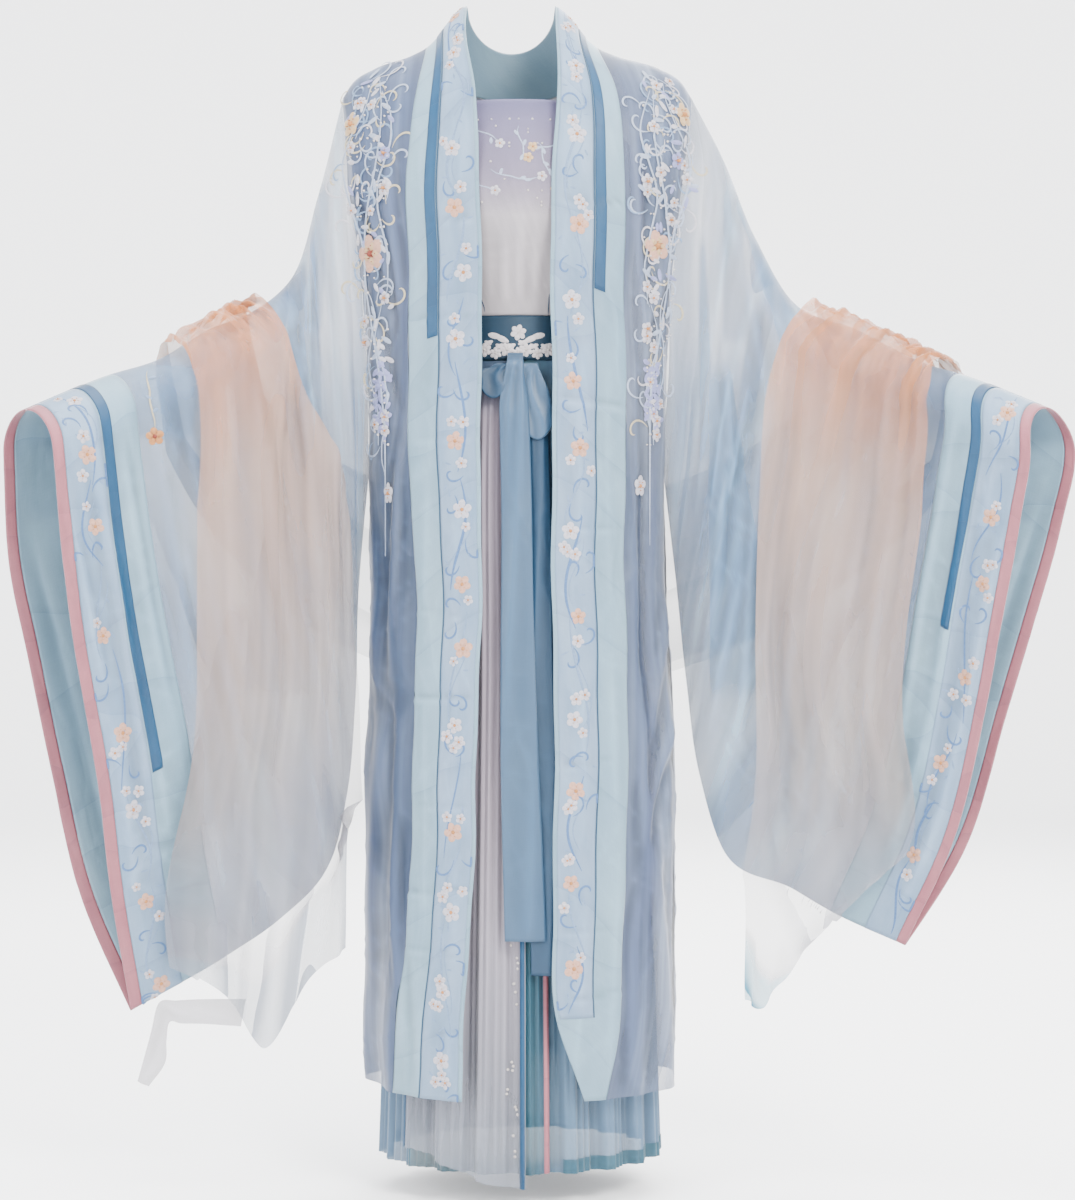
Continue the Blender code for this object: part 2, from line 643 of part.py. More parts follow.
def make_tie():
    """The ribbon that ties the waistband: two long ends, and a bow loop at each side of them."""
    ends = (
        # name, left_top, right_top, left_low, right_low, top_z, low_z, out_edge, out_top, out_low
        ("tie_end_front", -0.020, 0.012, -0.014, 0.032, -0.355, -1.021, 0.0062, 0.0185, 0.0205),
        ("tie_end_behind", 0.010, 0.034, 0.016, 0.052, -0.368, -1.060, 0.0092, 0.0092, 0.0155),
    )
    rows = (0, 0.008, 0.018, 0.04, 0.10, 0.20, 0.32, 0.44, 0.56, 0.70, 0.85, 1.0)
    for name, left_top, right_top, left_low, right_low, top_z, low_z, edge, out_top, out_low in ends:
        share, across = grid(rows, np.linspace(0, 1, 4))
        x = mix(mix(left_top, left_low, share), mix(right_top, right_low, share), across)
        bend = 0.0012 * np.sin(across * math.pi) * ease(share * 6)
        out = mix(edge, mix(out_top, out_low, ease((share - 0.15) * 2.5)), ease(share / 0.018)) + bend
        cloth_wall(name, on_skirt(x, mix(top_z, low_z, share), out), RIBBON, TRIM)
    for name, side, tip_x, low_z in (
        ("bow_loop_right", RIGHT, 0.036, -0.405),
        ("bow_loop_left", LEFT, 0.034, -0.452),
    ):
        top_z = WAIST_LOW_Z - 0.005
        share, across = grid(np.linspace(0, 1, 15), np.linspace(0, 1, 4))
        turn = np.clip((share - 0.42) / 0.16, 0, 1) * math.pi
        fallen = np.clip(np.where(share < 0.5, share, 1 - share) / 0.42, 0, 1)
        height = mix(top_z, low_z, fallen) - 0.003 * np.sin(turn)
        out = 0.0157 - 0.0030 * (1 - np.cos(turn)) + 0.0010 * ease(fallen * 2)
        x = side * mix(0.016, tip_x - 0.006, fallen) + (across - 0.5) * 2 * mix(0.005, 0.012, ease(fallen))
        cloth_wall(name, on_skirt(x, height, out), RIBBON, TRIM)


def make_skirt():
    heights = np.append(np.linspace(WAIST_LOW_Z - SEAM, SKIRT_HEM_Z + HEM_BAND, 6), SKIRT_HEM_Z)
    hem_row = len(heights) - 2
    half = np.linspace(-math.pi / 2 + 1e-6, math.pi / 2 - 1e-6, 41)
    for which, angles, first in (("front", half, 24), ("back", half + math.pi, 0)):
        points = skirt_points(angles, heights)
        cloth_wall("skirt_" + which, points, BLUE)
        laid_on("skirt_hem_" + which, points, (hem_row, hem_row + 2), (first, 41), TEAL)
        if which == "front":
            stripe = mix(points[:, 22:23], points[:, 23:24], np.array((0.25, 0.7))[None, :, None])
            laid_on("skirt_stripe", stripe, (1, len(heights)), (0, 2), PINK)
    step = half[1] - half[0]
    angles = np.append(np.arange(-12, 1) * step, step / 2)
    share, turn = grid(np.linspace(0, 1, 9), angles)
    low = mix(SKIRT_HEM_Z - 0.015, SKIRT_HEM_Z + 0.022, ease(-turn / math.radians(54)))
    tall = mix(WAIST_LOW_Z - 0.001, low, share)
    over = skirt_points(turn, tall, 1.0)
    cloth_wall("overskirt", over, MIST)
    laid_on("overskirt_edge", over, (0, 9), (12, 14), TEAL)
    laid_on("overskirt_side_edge", over, (7, 9), (0, 2), TEAL)


for old in list(bpy.data.objects):
    bpy.data.objects.remove(old)
PARTS = bpy.data.collections.new("hanfu")
bpy.context.scene.collection.children.link(PARTS)
HELD_AT = bpy.data.objects.new("held_at_shoulders", None)
PARTS.objects.link(HELD_AT)

SHEER = material("sheer_grey_blue", (0.52, 0.60, 0.70), 0.6)
PALE = material("pale_aqua", (0.66, 0.78, 0.83), 0.6)
PRINT = material("printed_band", (0.70, 0.80, 0.88), 0.6)
TEAL = material("deep_teal", (0.06, 0.24, 0.36), 0.55)
PINK = material("dusty_pink", (0.62, 0.32, 0.33), 0.6)
CREAM = material("cream", (0.66, 0.60, 0.60), 0.6)
MAUVE = material("mauve", (0.55, 0.50, 0.62), 0.55)
LACE = material("white_lace", (0.85, 0.82, 0.82), 0.8)
RIBBON = material("slate_ribbon", (0.34, 0.44, 0.56), 0.45)
BLUE = material("skirt_blue", (0.42, 0.60, 0.68), 0.6)
MIST = material("overskirt_mist", (0.66, 0.62, 0.68), 0.6)
SCARF_CLOTH = material("scarf_peach", (0.80, 0.66, 0.56), 0.6)

make_robe()
make_sleeves()
make_scarf()
make_bodice()
make_waist()
make_tie()
make_skirt()
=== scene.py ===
import math

import bpy
import numpy as np
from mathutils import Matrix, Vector


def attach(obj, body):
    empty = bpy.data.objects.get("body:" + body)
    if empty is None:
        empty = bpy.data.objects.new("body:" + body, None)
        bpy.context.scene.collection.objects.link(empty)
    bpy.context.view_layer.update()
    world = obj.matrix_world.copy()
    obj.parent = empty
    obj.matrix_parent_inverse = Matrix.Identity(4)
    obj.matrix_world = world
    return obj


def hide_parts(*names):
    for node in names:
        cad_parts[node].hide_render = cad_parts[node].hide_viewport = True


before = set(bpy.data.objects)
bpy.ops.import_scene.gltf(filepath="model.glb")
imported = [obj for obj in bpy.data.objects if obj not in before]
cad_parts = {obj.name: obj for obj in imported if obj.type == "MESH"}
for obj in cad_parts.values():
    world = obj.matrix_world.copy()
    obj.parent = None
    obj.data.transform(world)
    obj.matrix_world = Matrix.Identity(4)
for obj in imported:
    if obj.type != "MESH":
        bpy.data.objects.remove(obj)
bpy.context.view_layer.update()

# Thickness of the thicker shells, and how far strips and flowers lie over the cloth that carries them
BAND_WALL = 0.0009
CLOTH_WALL = 0.0008
WAIST_WALL = 0.0010
LOOP_WALL = 0.0006
BINDING_WALL = 0.0016
STRIP_WALL = 0.0004
PRINT_LIFT = 0.0006
GUARD_LIFT = 0.0007
TRIM_LIFT = 0.0007
LINE_LIFT = 0.0003
BINDING_LIFT = 0.0004
FLOWER_LIFT = 0.0002

# The robe's outline
RIGHT, LEFT = -1, 1
SHOULDER_ROUND = 0.11
SHOULDER_X = 0.205
NECK_X = 0.052
COLLAR_SEAM_X = 0.100
ARMPIT_Z = -0.484
ROBE_HEM_Z = -1.20
ARMHOLE_OPEN = math.radians(24)
RIDGE_WIDE = SHOULDER_X / math.cos(ARMHOLE_OPEN)
NECK_BACK_Y = 0.085
NECK_DROP = 0.048
COLLAR_TOP_Y = 0.070
COLLAR_TOP_DIP = 0.040

# The skirt and the waist
WAIST_TOP_Z = -0.312
WAIST_LOW_Z = -0.363
SKIRT_HEM_Z = -1.285
HEM_BAND = 0.016
PLEATS = 20
FINE_PLEAT = 0.0011
BODICE_TOP_Z = -0.125
BODICE_ARCH = 0.060
WAIST_LIFT = 0.0012

# Height of the shoulder line at each distance from the middle
RIDGE = (
    # out, height
    (0.040, 0.068),
    (0.052, 0.062),
    (0.072, 0.044),
    (0.088, 0.024),
    (0.100, 0.013),
    (0.115, 0.005),
    (0.165, -0.0115),
    (0.193, -0.029),
    (0.205, -0.045),
)

ROBE = (
    # height, half_width, front_depth, back_depth, fold
    (-1.200, 0.180, 0.159, 0.152, 0.0055),
    (-1.100, 0.182, 0.156, 0.150, 0.0055),
    (-0.900, 0.181, 0.149, 0.142, 0.0050),
    (-0.650, 0.174, 0.140, 0.128, 0.0035),
    (-0.484, 0.172, 0.134, 0.118, 0.0020),
    (-0.320, 0.178, 0.129, 0.108, 0.0000),
    (-0.200, 0.188, 0.127, 0.108, 0.0000),
    (-0.120, 0.196, 0.124, 0.105, 0.0000),
    (-0.046, 0.205, 0.108, 0.095, 0.0000),
    (0.062, 0.205, 0.085, 0.085, 0.0000),
)

# Inner edge of each lapel and its seam to the front, alike on both sides from the waist up
LAPELS_ABOVE = (
    # height, inner, seam
    (-0.300, 0.040, 0.124),
    (-0.120, 0.042, 0.122),
    (-0.050, 0.047, 0.114),
    (0.009, 0.052, 0.100),
    (0.062, 0.052, 0.100),
)
LAPELS = {
    RIGHT: (
        (-1.200, 0.063, 0.147),
        (-1.000, 0.054, 0.132),
        (-0.900, 0.048, 0.126),
        (-0.700, 0.042, 0.120),
        *LAPELS_ABOVE,
    ),
    LEFT: (
        (-1.200, 0.074, 0.096),
        (-1.112, 0.044, 0.112),
        (-1.000, 0.042, 0.118),
        (-0.700, 0.041, 0.121),
        *LAPELS_ABOVE,
    ),
}

BODICE = (
    # height, half_width, front_depth, back_depth
    (-0.312, 0.122, 0.0950, 0.088),
    (-0.240, 0.134, 0.1120, 0.090),
    (-0.170, 0.150, 0.1257, 0.093),
    (-0.120, 0.150, 0.1177, 0.092),
    (-0.050, 0.140, 0.0880, 0.088),
)

SKIRT = (
    # height, half_width, front_depth, back_depth, pleat, overskirt
    (-1.300, 0.160, 0.1320, 0.130, 0.0060, 0.0045),
    (-1.200, 0.157, 0.1280, 0.127, 0.0055, 0.0045),
    (-1.000, 0.150, 0.1210, 0.120, 0.0048, 0.0042),
    (-0.800, 0.143, 0.1140, 0.112, 0.0040, 0.0038),
    (-0.600, 0.136, 0.1060, 0.103, 0.0028, 0.0034),
    (-0.450, 0.129, 0.1000, 0.095, 0.0014, 0.0028),
    (-0.363, 0.122, 0.0940, 0.088, 0.0000, 0.0022),
)

# Each sleeve from the armhole, at 0, to the cuff, at 1: the line along the top of the arm, the seam
# below it, half the width of the hollow between them, and how far the arm is turned forward, in degrees
SLEEVES = {
    RIGHT: (
        # along, top_out, top_y, top_z, low_out, low_y, low_z, half_hollow, turned
        (0.00, 0.205, 0.000, -0.045, 0.172, 0.000, -0.484, 0.048, 0),
        (0.20, 0.236, 0.000, -0.165, 0.187, 0.000, -0.640, 0.050, 4),
        (0.36, 0.268, 0.000, -0.260, 0.190, 0.000, -0.757, 0.050, 12),
        (0.48, 0.318, -0.012, -0.302, 0.198, -0.001, -0.862, 0.050, 22),
        (0.56, 0.353, -0.030, -0.318, 0.213, -0.003, -0.930, 0.050, 30),
        (0.71, 0.413, -0.075, -0.361, 0.280, -0.019, -1.012, 0.047, 36),
        (0.82, 0.462, -0.110, -0.381, 0.341, -0.038, -1.053, 0.052, 38),
        (1.00, 0.546, -0.170, -0.425, 0.444, -0.075, -1.109, 0.056, 38),
    ),
    LEFT: (
        # along, top_out, top_y, top_z, low_out, low_y, low_z, half_hollow, turned
        (0.00, 0.205, 0.000, -0.045, 0.172, 0.000, -0.484, 0.048, 0),
        (0.135, 0.243, 0.000, -0.118, 0.186, 0.000, -0.603, 0.050, 3),
        (0.30, 0.282, 0.000, -0.212, 0.199, 0.000, -0.733, 0.050, 8),
        (0.45, 0.333, -0.004, -0.293, 0.215, 0.000, -0.845, 0.048, 18),
        (0.56, 0.389, -0.030, -0.318, 0.245, 0.000, -0.932, 0.044, 28),
        (0.74, 0.469, -0.090, -0.367, 0.325, -0.018, -0.977, 0.044, 36),
        (0.82, 0.503, -0.120, -0.381, 0.366, -0.030, -1.000, 0.048, 38),
        (1.00, 0.591, -0.170, -0.423, 0.447, -0.075, -1.034, 0.052, 38),
    ),
}

# How the mouth of each sleeve hangs: how far it swings out of the straight line from the arm to the
# seam below, and how far it stays open as a share of the hollow
MOUTH = {
    RIGHT: (
        # share, swings_out, open
        (0.00, 0.000, 1.00),
        (0.10, 0.008, 1.12),
        (0.24, 0.018, 1.20),
        (0.40, 0.019, 1.06),
        (0.60, 0.017, 1.00),
        (0.82, 0.016, 0.80),
        (1.00, 0.000, 0.50),
    ),
    LEFT: (
        # share, swings_out, open
        (0.00, 0.000, 1.00),
        (0.08, 0.020, 1.06),
        (0.20, 0.027, 1.00),
        (0.40, 0.031, 0.76),
        (0.55, 0.033, 0.54),
        (0.84, 0.028, 0.42),
        (1.00, 0.000, 0.40),
    ),
}
ARM_ROUND = 0.045
LEAST_HOLLOW = 0.0006
BELOW_SLEEVE = 0.40
NECK_ASIDE = -0.007
HANGS_ASIDE = 0.007
SKIRT_ASIDE = 0.004
SLEEVE_BLEND = 0.30
CUFF_FROM = 0.82
CUFF_GUARD = (0.878, 0.899)
CUFF_GUARD_ENDS = {RIGHT: 1.52, LEFT: 1.26}
CUFF_PRINT = (0.902, 0.9775)
CUFF_LOOSE = 0.6
BINDING_FROM = 0.9785
SLEEVE_FOLD = 0.0055
SLEEVE_FOLD_PITCH = 0.115
FOLDS_END = 0.83

# Strips on the lapels and the collar, as shares of the way from the inner edge to the seam
BAND_PRINT = (0.05, 0.54)
# BAND_LINE holds a dark strip of painted shadow along the print's outer edge
BAND_LINE = (0.543, 0.564)
BAND_GUARD = (0.57, 0.72)
BAND_LOOSE = 0.45
# How far down the robe each lapel's print and guard reach
LAPEL_ENDS = {RIGHT: (3.0, 1.655), LEFT: (2.878, 1.52)}

# The scarf's edges down the front of each sleeve, as places along the sleeve, and how far down each
# column of its end reaches, where 2 is the sleeve's lower seam
SCARF = {
    RIGHT: (
        # down, inner, outer
        (0.0, 0.45, 0.66),
        (1.0, 0.38, 0.73),
        (1.5, 0.33, 0.83),
        (1.8, 0.44, 0.92),
        (2.0, 0.50, 0.93),
        (2.4, 0.52, 0.91),
    ),
    LEFT: (
        # down, inner, outer
        (0.0, 0.47, 0.78),
        (1.0, 0.45, 0.82),
        (1.5, 0.52, 0.85),
        (1.75, 0.58, 0.93),
        (2.0, 0.62, 0.89),
        (2.4, 0.62, 0.77),
    ),
}
SCARF_END = {
    RIGHT: ((0.0, 2.37), (0.30, 2.24), (0.40, 2.27), (0.57, 2.33), (0.75, 2.10), (1.0, 1.93)),
    LEFT: ((0.0, 2.37), (0.35, 2.36), (0.62, 2.18), (0.85, 1.96), (1.0, 1.80)),
}
SCARF_ROWS = np.linspace(1e-6, 1.68, 96)
SCARF_END_ROWS = np.linspace(0, 1, 33)[1:]
SCARF_BACK_ROWS = np.linspace(0, 0.82, 30)[1:]
SCARF_LIFT_TOP = 0.0027
SCARF_LIFT_LOW = 0.0095
SCARF_FOLD = 0.0038
SCARF_TAIL = (
    # upper_x, upper_z, lower_x, lower_z, y
    (-0.315, -1.101, -0.321, -1.133, -0.0415),
    (-0.362, -1.100, -0.358, -1.129, -0.0500),
    (-0.393, -1.101, -0.388, -1.128, -0.0530),
    (-0.414, -1.103, -0.402, -1.126, -0.0550),
    (-0.423, -1.136, -0.405, -1.147, -0.0565),
    (-0.431, -1.165, -0.407, -1.173, -0.0570),
    (-0.439, -1.194, -0.426, -1.200, -0.0570),
)
SCARF_BEHIND = ((0.205, 0.180, -0.560), (0.260, 0.185, -0.840))


def column(table, index, at):
    """A smooth curve through one column of a table, read at heights or places given by the first one."""
    rows = np.array(table, float)
    key, value = rows[:, 0], rows[:, index]
    slope = np.gradient(value, key)
    at = np.clip(np.asarray(at, float), key[0], key[-1])
    i = np.clip(np.searchsorted(key, at) - 1, 0, len(key) - 2)
    step = key[i + 1] - key[i]
    t = (at - key[i]) / step
    return (
        (2 * t**3 - 3 * t**2 + 1) * value[i]
        + (t**3 - 2 * t**2 + t) * step * slope[i]
        + (3 * t**2 - 2 * t**3) * value[i + 1]
        + (t**3 - t**2) * step * slope[i + 1]
    )


def ease(t):
    t = np.clip(t, 0, 1)
    return t * t * (3 - 2 * t)


def mix(a, b, share):
    return a + (b - a) * share


def grid(rows, columns):
    """Two arrays over rows and columns."""
    return np.meshgrid(np.asarray(rows, float), np.asarray(columns, float), indexing="ij")


def place(x, y, z):
    return np.stack(np.broadcast_arrays(x, y, z), axis=-1)


def outward(points):
    """Unit normals of a grid of points, facing out."""
    down = np.gradient(points, axis=0)
    across = np.gradient(points, axis=1)
    normal = np.cross(down, across)
    return normal / np.maximum(np.linalg.norm(normal, axis=-1, keepdims=True), 1e-9)


def moved_out(points, distance):
    return points + outward(points) * np.asarray(distance)[..., None]


def robe_fall(down, top):
    """Height, and share of the full depth, at a place down the robe: 1 is below the shoulder's rounding,
    2 is the armpit and 3 the hem."""
    turn = np.clip(down, 0, 1) * math.pi / 2
    height = top - SHOULDER_ROUND * (1 - np.cos(turn))
    shoulder_low = top - SHOULDER_ROUND
    height = np.where(down > 1, mix(shoulder_low, ARMPIT_Z, np.clip(down - 1, 0, 1)), height)
    height = np.where(down > 2, mix(ARMPIT_Z, ROBE_HEM_Z, np.clip(down - 2, 0, 1)), height)
    return height, np.sin(turn)


def armhole(height):
    """Half the angle that the armhole takes out of the robe's side."""
    shoulder_z = column(RIDGE, 1, SHOULDER_X)
    share = np.clip((shoulder_z - height) / (shoulder_z - ARMPIT_Z), 0, 1)
    return ARMHOLE_OPEN * (1 - share**3) ** 0.7


def robe_wide(height):
    """Half the robe's width, were its ellipse whole: the armhole's edge is at the width in the table."""
    return column(ROBE, 1, height) / np.cos(armhole(height))


def robe_folds(angle, height):
    """Long soft folds that deepen towards the hem, none of them in the stiff lapels."""
    loose = ease((np.abs(np.sin(angle)) - 0.70) / 0.2 + (np.cos(angle) < 0))
    wave = np.sin(7 * angle + 0.6) + 0.4 * np.sin(11 * angle + 2.0 + 1.5 * height)
    return column(ROBE, 4, height) * loose * wave / 1.4


def aside(x, height):
    """The collar sits a little to the wearer's right, and the robe below hangs to the left."""
    neck = ease((height + 0.06) / 0.09) * (1 - ease((np.abs(x) - 0.10) / 0.08))
    hang = ease((-0.45 - height) / 0.3) * ease(np.abs(x) / 0.17)
    sway = 0.0016 * np.sin(19 * height + 1.0) + 0.0007 * np.sin(47 * height + 0.4)
    other = 0.0015 * np.sin(17 * height + 2.6) + 0.0008 * np.sin(41 * height + 4.0)
    uneven = sway * ease(-x / 0.05) + other * ease(x / 0.05)
    uneven = uneven * ease((-0.03 - height) / 0.12)
    return x + NECK_ASIDE * neck + HANGS_ASIDE * hang + uneven


def robe_at(angle, height, over, edge_y=0.0):
    """A point of the robe at an angle from the front, where over is the share of its full depth."""
    wide = robe_wide(height) + robe_folds(angle, height)
    deep = np.where(np.cos(angle) > 0, column(ROBE, 2, height), column(ROBE, 3, height))
    deep = deep + robe_folds(angle, height)
    y = mix(edge_y, -deep * np.cos(angle), over)
    return place(aside(wide * np.sin(angle), height), y, height)


def lapel_points(side, across, down):
    """The collar's band, from its inner edge at 0 to its seam at 1, down from the side of the neck."""
    down, across = grid(down, across)
    top = column(RIDGE, 1, mix(NECK_X, COLLAR_SEAM_X, across))
    height, over = robe_fall(down, top)
    wide = robe_wide(height)
    inner = np.arcsin(column(LAPELS[side], 1, height) / wide)
    seam_shadow_and_cord = np.arcsin(column(LAPELS[side], 2, height) / wide)
    points = robe_at(side * mix(inner, seam_shadow_and_cord, across), height, over)
    return points if side == LEFT else points[:, ::-1]


def front_points(side, across, down):
    """The front, from its seam to the collar at 0 to the armhole and side seam at 1."""
    down, across = grid(down, across)
    seam_top = math.asin(COLLAR_SEAM_X / RIDGE_WIDE)
    top = column(RIDGE, 1, RIDGE_WIDE * np.sin(mix(seam_top, math.pi / 2 - ARMHOLE_OPEN, across)))
    height, over = robe_fall(down, top)
    wide = robe_wide(height)
    seam_shadow_and_cord = np.arcsin(column(LAPELS[side], 2, height) / wide)
    outer = math.pi / 2 - armhole(height)
    points = robe_at(side * mix(seam_shadow_and_cord, outer - 1e-6, across), height, over)
    return points if side == LEFT else points[:, ::-1]


def back_ridge_x(across):
    """Where the back's columns meet the shoulder line."""
    return RIDGE_WIDE * np.sin(mix(math.pi / 2 + ARMHOLE_OPEN, 3 * math.pi / 2 - ARMHOLE_OPEN, across))


def back_points(across, down):
    """The back, from the wearer's left side at 0 to the right side at 1, under the back of the neck."""
    down, across = grid(down, across)
    x_top = back_ridge_x(across)
    neck = np.sqrt(np.clip(1 - (x_top / COLLAR_SEAM_X) ** 2, 0, 1))
    top = np.where(neck > 0, column(RIDGE, 1, COLLAR_SEAM_X), column(RIDGE, 1, np.abs(x_top)))
    height, over = robe_fall(down, top - NECK_DROP * neck)
    open_by = armhole(height)
    angle = mix(math.pi / 2 + open_by + 1e-6, 3 * math.pi / 2 - open_by - 1e-6, across)
    return robe_at(angle, height, over, NECK_BACK_Y * neck)


def collar_back_points(across, down):
    """The stand of the collar behind the neck, down from its top edge, on the same columns as the back."""
    down, across = grid(down, across)
    turn = np.arccos(np.clip(back_ridge_x(across) / COLLAR_SEAM_X, -1, 1))
    low_z = column(RIDGE, 1, COLLAR_SEAM_X) - NECK_DROP * np.sin(turn)
    top_z = column(RIDGE, 1, NECK_X) - COLLAR_TOP_DIP * np.sin(turn)
    x = mix(NECK_X, COLLAR_SEAM_X, down) * np.cos(turn)
    y = mix(COLLAR_TOP_Y, NECK_BACK_Y, down) * np.sin(turn)
    z = mix(top_z, low_z, down)
    return place(aside(x, z), y, z)


def sleeve_lines(side, along):
    """Top line, lower seam and forward direction of a sleeve at places along it."""
    table = SLEEVES[side]
    top = place(side * column(table, 1, along), column(table, 2, along), column(table, 3, along))
    low = place(side * column(table, 4, along), column(table, 5, along), column(table, 6, along))
    turned = np.radians(column(table, 8, along))
    return top, low, place(-side * np.sin(turned), -np.cos(turned), 0 * turned)


def sleeve_hang(side, along, down):
    """A sleeve as it hangs from the arm. Down runs from 0 at the top to 2 at the lower seam, and on below
    it, and is negative on the back layer."""
    top, low, forward = sleeve_lines(side, along)
    layer = np.where(down < 0, -1.0, 1.0)
    height, _ = robe_fall(np.clip(np.abs(down), 0, 2), column(RIDGE, 1, SHOULDER_X))
    share = (column(RIDGE, 1, SHOULDER_X) - height) / (column(RIDGE, 1, SHOULDER_X) - ARMPIT_Z)
    inside = np.clip(share, 0, 1)
    below = np.clip(np.abs(down) - 2, 0, None) * BELOW_SLEEVE
    long = np.linalg.norm(low - top, axis=-1)
    cap = np.sqrt(1 - (1 - np.clip(inside * long / ARM_ROUND, 0, 1)) ** 2)
    at_mouth = ease((along - 0.35) / 0.55)
    hollow = column(SLEEVES[side], 7, along) * cap * mix(1.0, column(MOUTH[side], 2, inside), at_mouth)
    hollow = hollow * (1 - inside ** mix(3.5, 8.0, at_mouth))
    hollow = hollow + LEAST_HOLLOW * ease(inside / 0.9)
    middle = mix(top, low, inside[..., None])
    middle[..., 0] += side * column(MOUTH[side], 1, inside) * at_mouth
    middle[..., 2] -= below
    out = np.abs(middle[..., 0])
    wave = np.sin(2 * math.pi * out / SLEEVE_FOLD_PITCH + 0.8 * layer * (1 - inside))
    wave = wave + 0.4 * np.sin(2 * math.pi * out / (0.7 * SLEEVE_FOLD_PITCH) + 1.0 + 2 * inside)
    loose = ease(inside / 0.35) * ease(along / 0.18) * ease((FOLDS_END - along) / 0.25)
    shift = layer * hollow + SLEEVE_FOLD * loose * wave
    return middle + forward * shift[..., None]


def armhole_points(side, down):
    """The robe's edge round the armhole, where the sleeve starts."""
    front = front_points(side, [1.0], np.clip(down, 0, 2))
    back = back_points([0.0 if side == LEFT else 1.0], np.clip(-down, 0, 2))
    return np.where((down < 0)[:, None], back[:, 0], front[:, 0])


def sleeve_points(side, along, down):
    """A layer of a sleeve: the armhole's shape at its start, then as it hangs. Down has one sign."""
    down, along = grid(down, along)
    points = sleeve_hang(side, along, down)
    start = sleeve_hang(side, 0 * down[:, :1], down[:, :1])
    join = armhole_points(side, down[:, 0])[:, None] - start
    join[..., 1] -= np.sign(down[:, :1]) * LEAST_HOLLOW * ease(np.abs(down[:, :1]) / 2)
    points = points + join * (1 - ease(along / SLEEVE_BLEND))[..., None]
    is_front = down[-1, 0] > 0
    return points if (side == LEFT) == is_front else points[:, ::-1]


def scarf_places(side, across, down):
    """How far along the sleeve each point of the scarf lies."""
    return mix(column(SCARF[side], 1, down), column(SCARF[side], 2, down), across)


def scarf_over_arm(side, across):
    """The scarf from its end in front of a sleeve, up over the arm and down behind it."""
    part, share = grid(SCARF_END_ROWS, across)
    end = mix(SCARF_ROWS[-1], column(SCARF_END[side], 1, share), part)
    front, _ = grid(SCARF_ROWS, across)
    behind, _ = grid(SCARF_BACK_ROWS, across)
    down = np.concatenate([end[::-1], front[::-1], -behind])
    share = across[None, :] + 0 * down
    flat = sleeve_hang(side, scarf_places(side, share, np.maximum(down, 0)), down)
    low = np.abs(down)
    lift = mix(SCARF_LIFT_TOP, SCARF_LIFT_LOW, ease(low / 0.9))
    wave = np.sin(2 * math.pi * 4 * share + 0.7 * low) + 0.5 * np.sin(2 * math.pi * 2.5 * share + 2)
    lift = lift + SCARF_FOLD * ease((low - 0.3) / 0.7) * (1.5 + wave) / 2
    return flat + outward(flat) * (-side * lift)[..., None]


def scarf_points(across, free):
    """The whole scarf, from its left end to its right one, with its outer edge first."""
    left, right = scarf_over_arm(LEFT, across), scarf_over_arm(RIGHT, across)
    behind = mix(np.array(SCARF_BEHIND[0]), np.array(SCARF_BEHIND[1]), across[None, :, None])
    t = free[:, None, None]
    swing = (1 - t) ** 3 * left[-1][None] + 3 * (1 - t) ** 2 * t * behind
    swing = swing + 3 * (1 - t) * t**2 * behind * np.array((-1, 1, 1)) + t**3 * right[-1][None]
    fold = np.sin(math.pi * t) * (1 + np.sin(2 * math.pi * 2.5 * across[None, :, None]))
    swing = swing + SCARF_FOLD * fold * np.array((0, 1.0, 0))
    return np.concatenate([left, swing[1:-1], right[::-1]])[:, ::-1]


def tube_points(table, angles, heights, extra=0.0):
    """Points round the body at the table's half width and depths, further out by extra."""
    wide = column(table, 1, heights) + extra
    deep = np.where(np.cos(angles) > 0, column(table, 2, heights), column(table, 3, heights)) + extra
    return place(wide * np.sin(angles), -deep * np.cos(angles), heights)


def pleat(angles):
    """Knife pleats: a sharp fold at one side of each and a slow return."""
    turn = angles * PLEATS
    return np.sin(turn) + 0.28 * np.sin(2 * turn)


def seen_from_front(points):
    return points[..., 0], points[..., 2]


def ripple(a, b, pitch, seed):
    """Soft uneven waves over two lengths, in metres, from about -1 to 1."""
    pick = np.random.default_rng(seed)
    total = 0 * a
    for _ in range(7):
        turn = pick.uniform(0, math.pi)
        long = pitch * pick.uniform(0.7, 1.6)
        run = a * math.cos(turn) + b * math.sin(turn)
        total = total + np.sin(2 * math.pi * run / long + pick.uniform(0, 6))
    return total / 3.2


def crinkle(a, b, pitch, seed):
    """Fine sharp creases in a few directions, patchy, from 0 to about 1."""
    pick = np.random.default_rng(seed)
    total = 0 * a
    for _ in range(6):
        turn = pick.uniform(0, math.pi)
        long = pitch * pick.uniform(0.6, 1.5)
        bent = a + 0.25 * pitch * ripple(a, b, 2.5 * pitch, seed + 9)
        run = bent * math.cos(turn) + b * math.sin(turn)
        line = 1 - np.abs(np.sin(math.pi * run / long + pick.uniform(0, 6)))
        patch = ease(0.5 + ripple(a, b, 3.5 * pitch, int(pick.integers(1000))))
        total = total + line**6 * patch
    return total / 2.2


def ridges(turn):
    """Sharp ridges from -1 to 1, two for each whole turn."""
    return 1 - 2 * np.abs(np.sin(turn))


def creases(a, b, table):
    """How far a cloth stands out along listed creases, each a soft ridge with a trough beside it."""
    total = 0 * a
    for a0, b0, a1, b1, wide, high in table:
        along = np.array((a1 - a0, b1 - b0))
        long = np.hypot(*along)
        along = along / long
        t = (a - a0) * along[0] + (b - b0) * along[1]
        off = (b - b0) * along[0] - (a - a0) * along[1]
        off = off + 0.35 * wide * np.sin(t / long * 5 + a0 * 90)
        fade = ease(t / (0.25 * long)) * ease((long - t) / (0.35 * long))
        ridge = np.exp(-((off / wide) ** 2)) - 0.7 * np.exp(-(((off - 1.7 * wide) / (1.1 * wide)) ** 2))
        total = total + high * fade * ridge
    return total


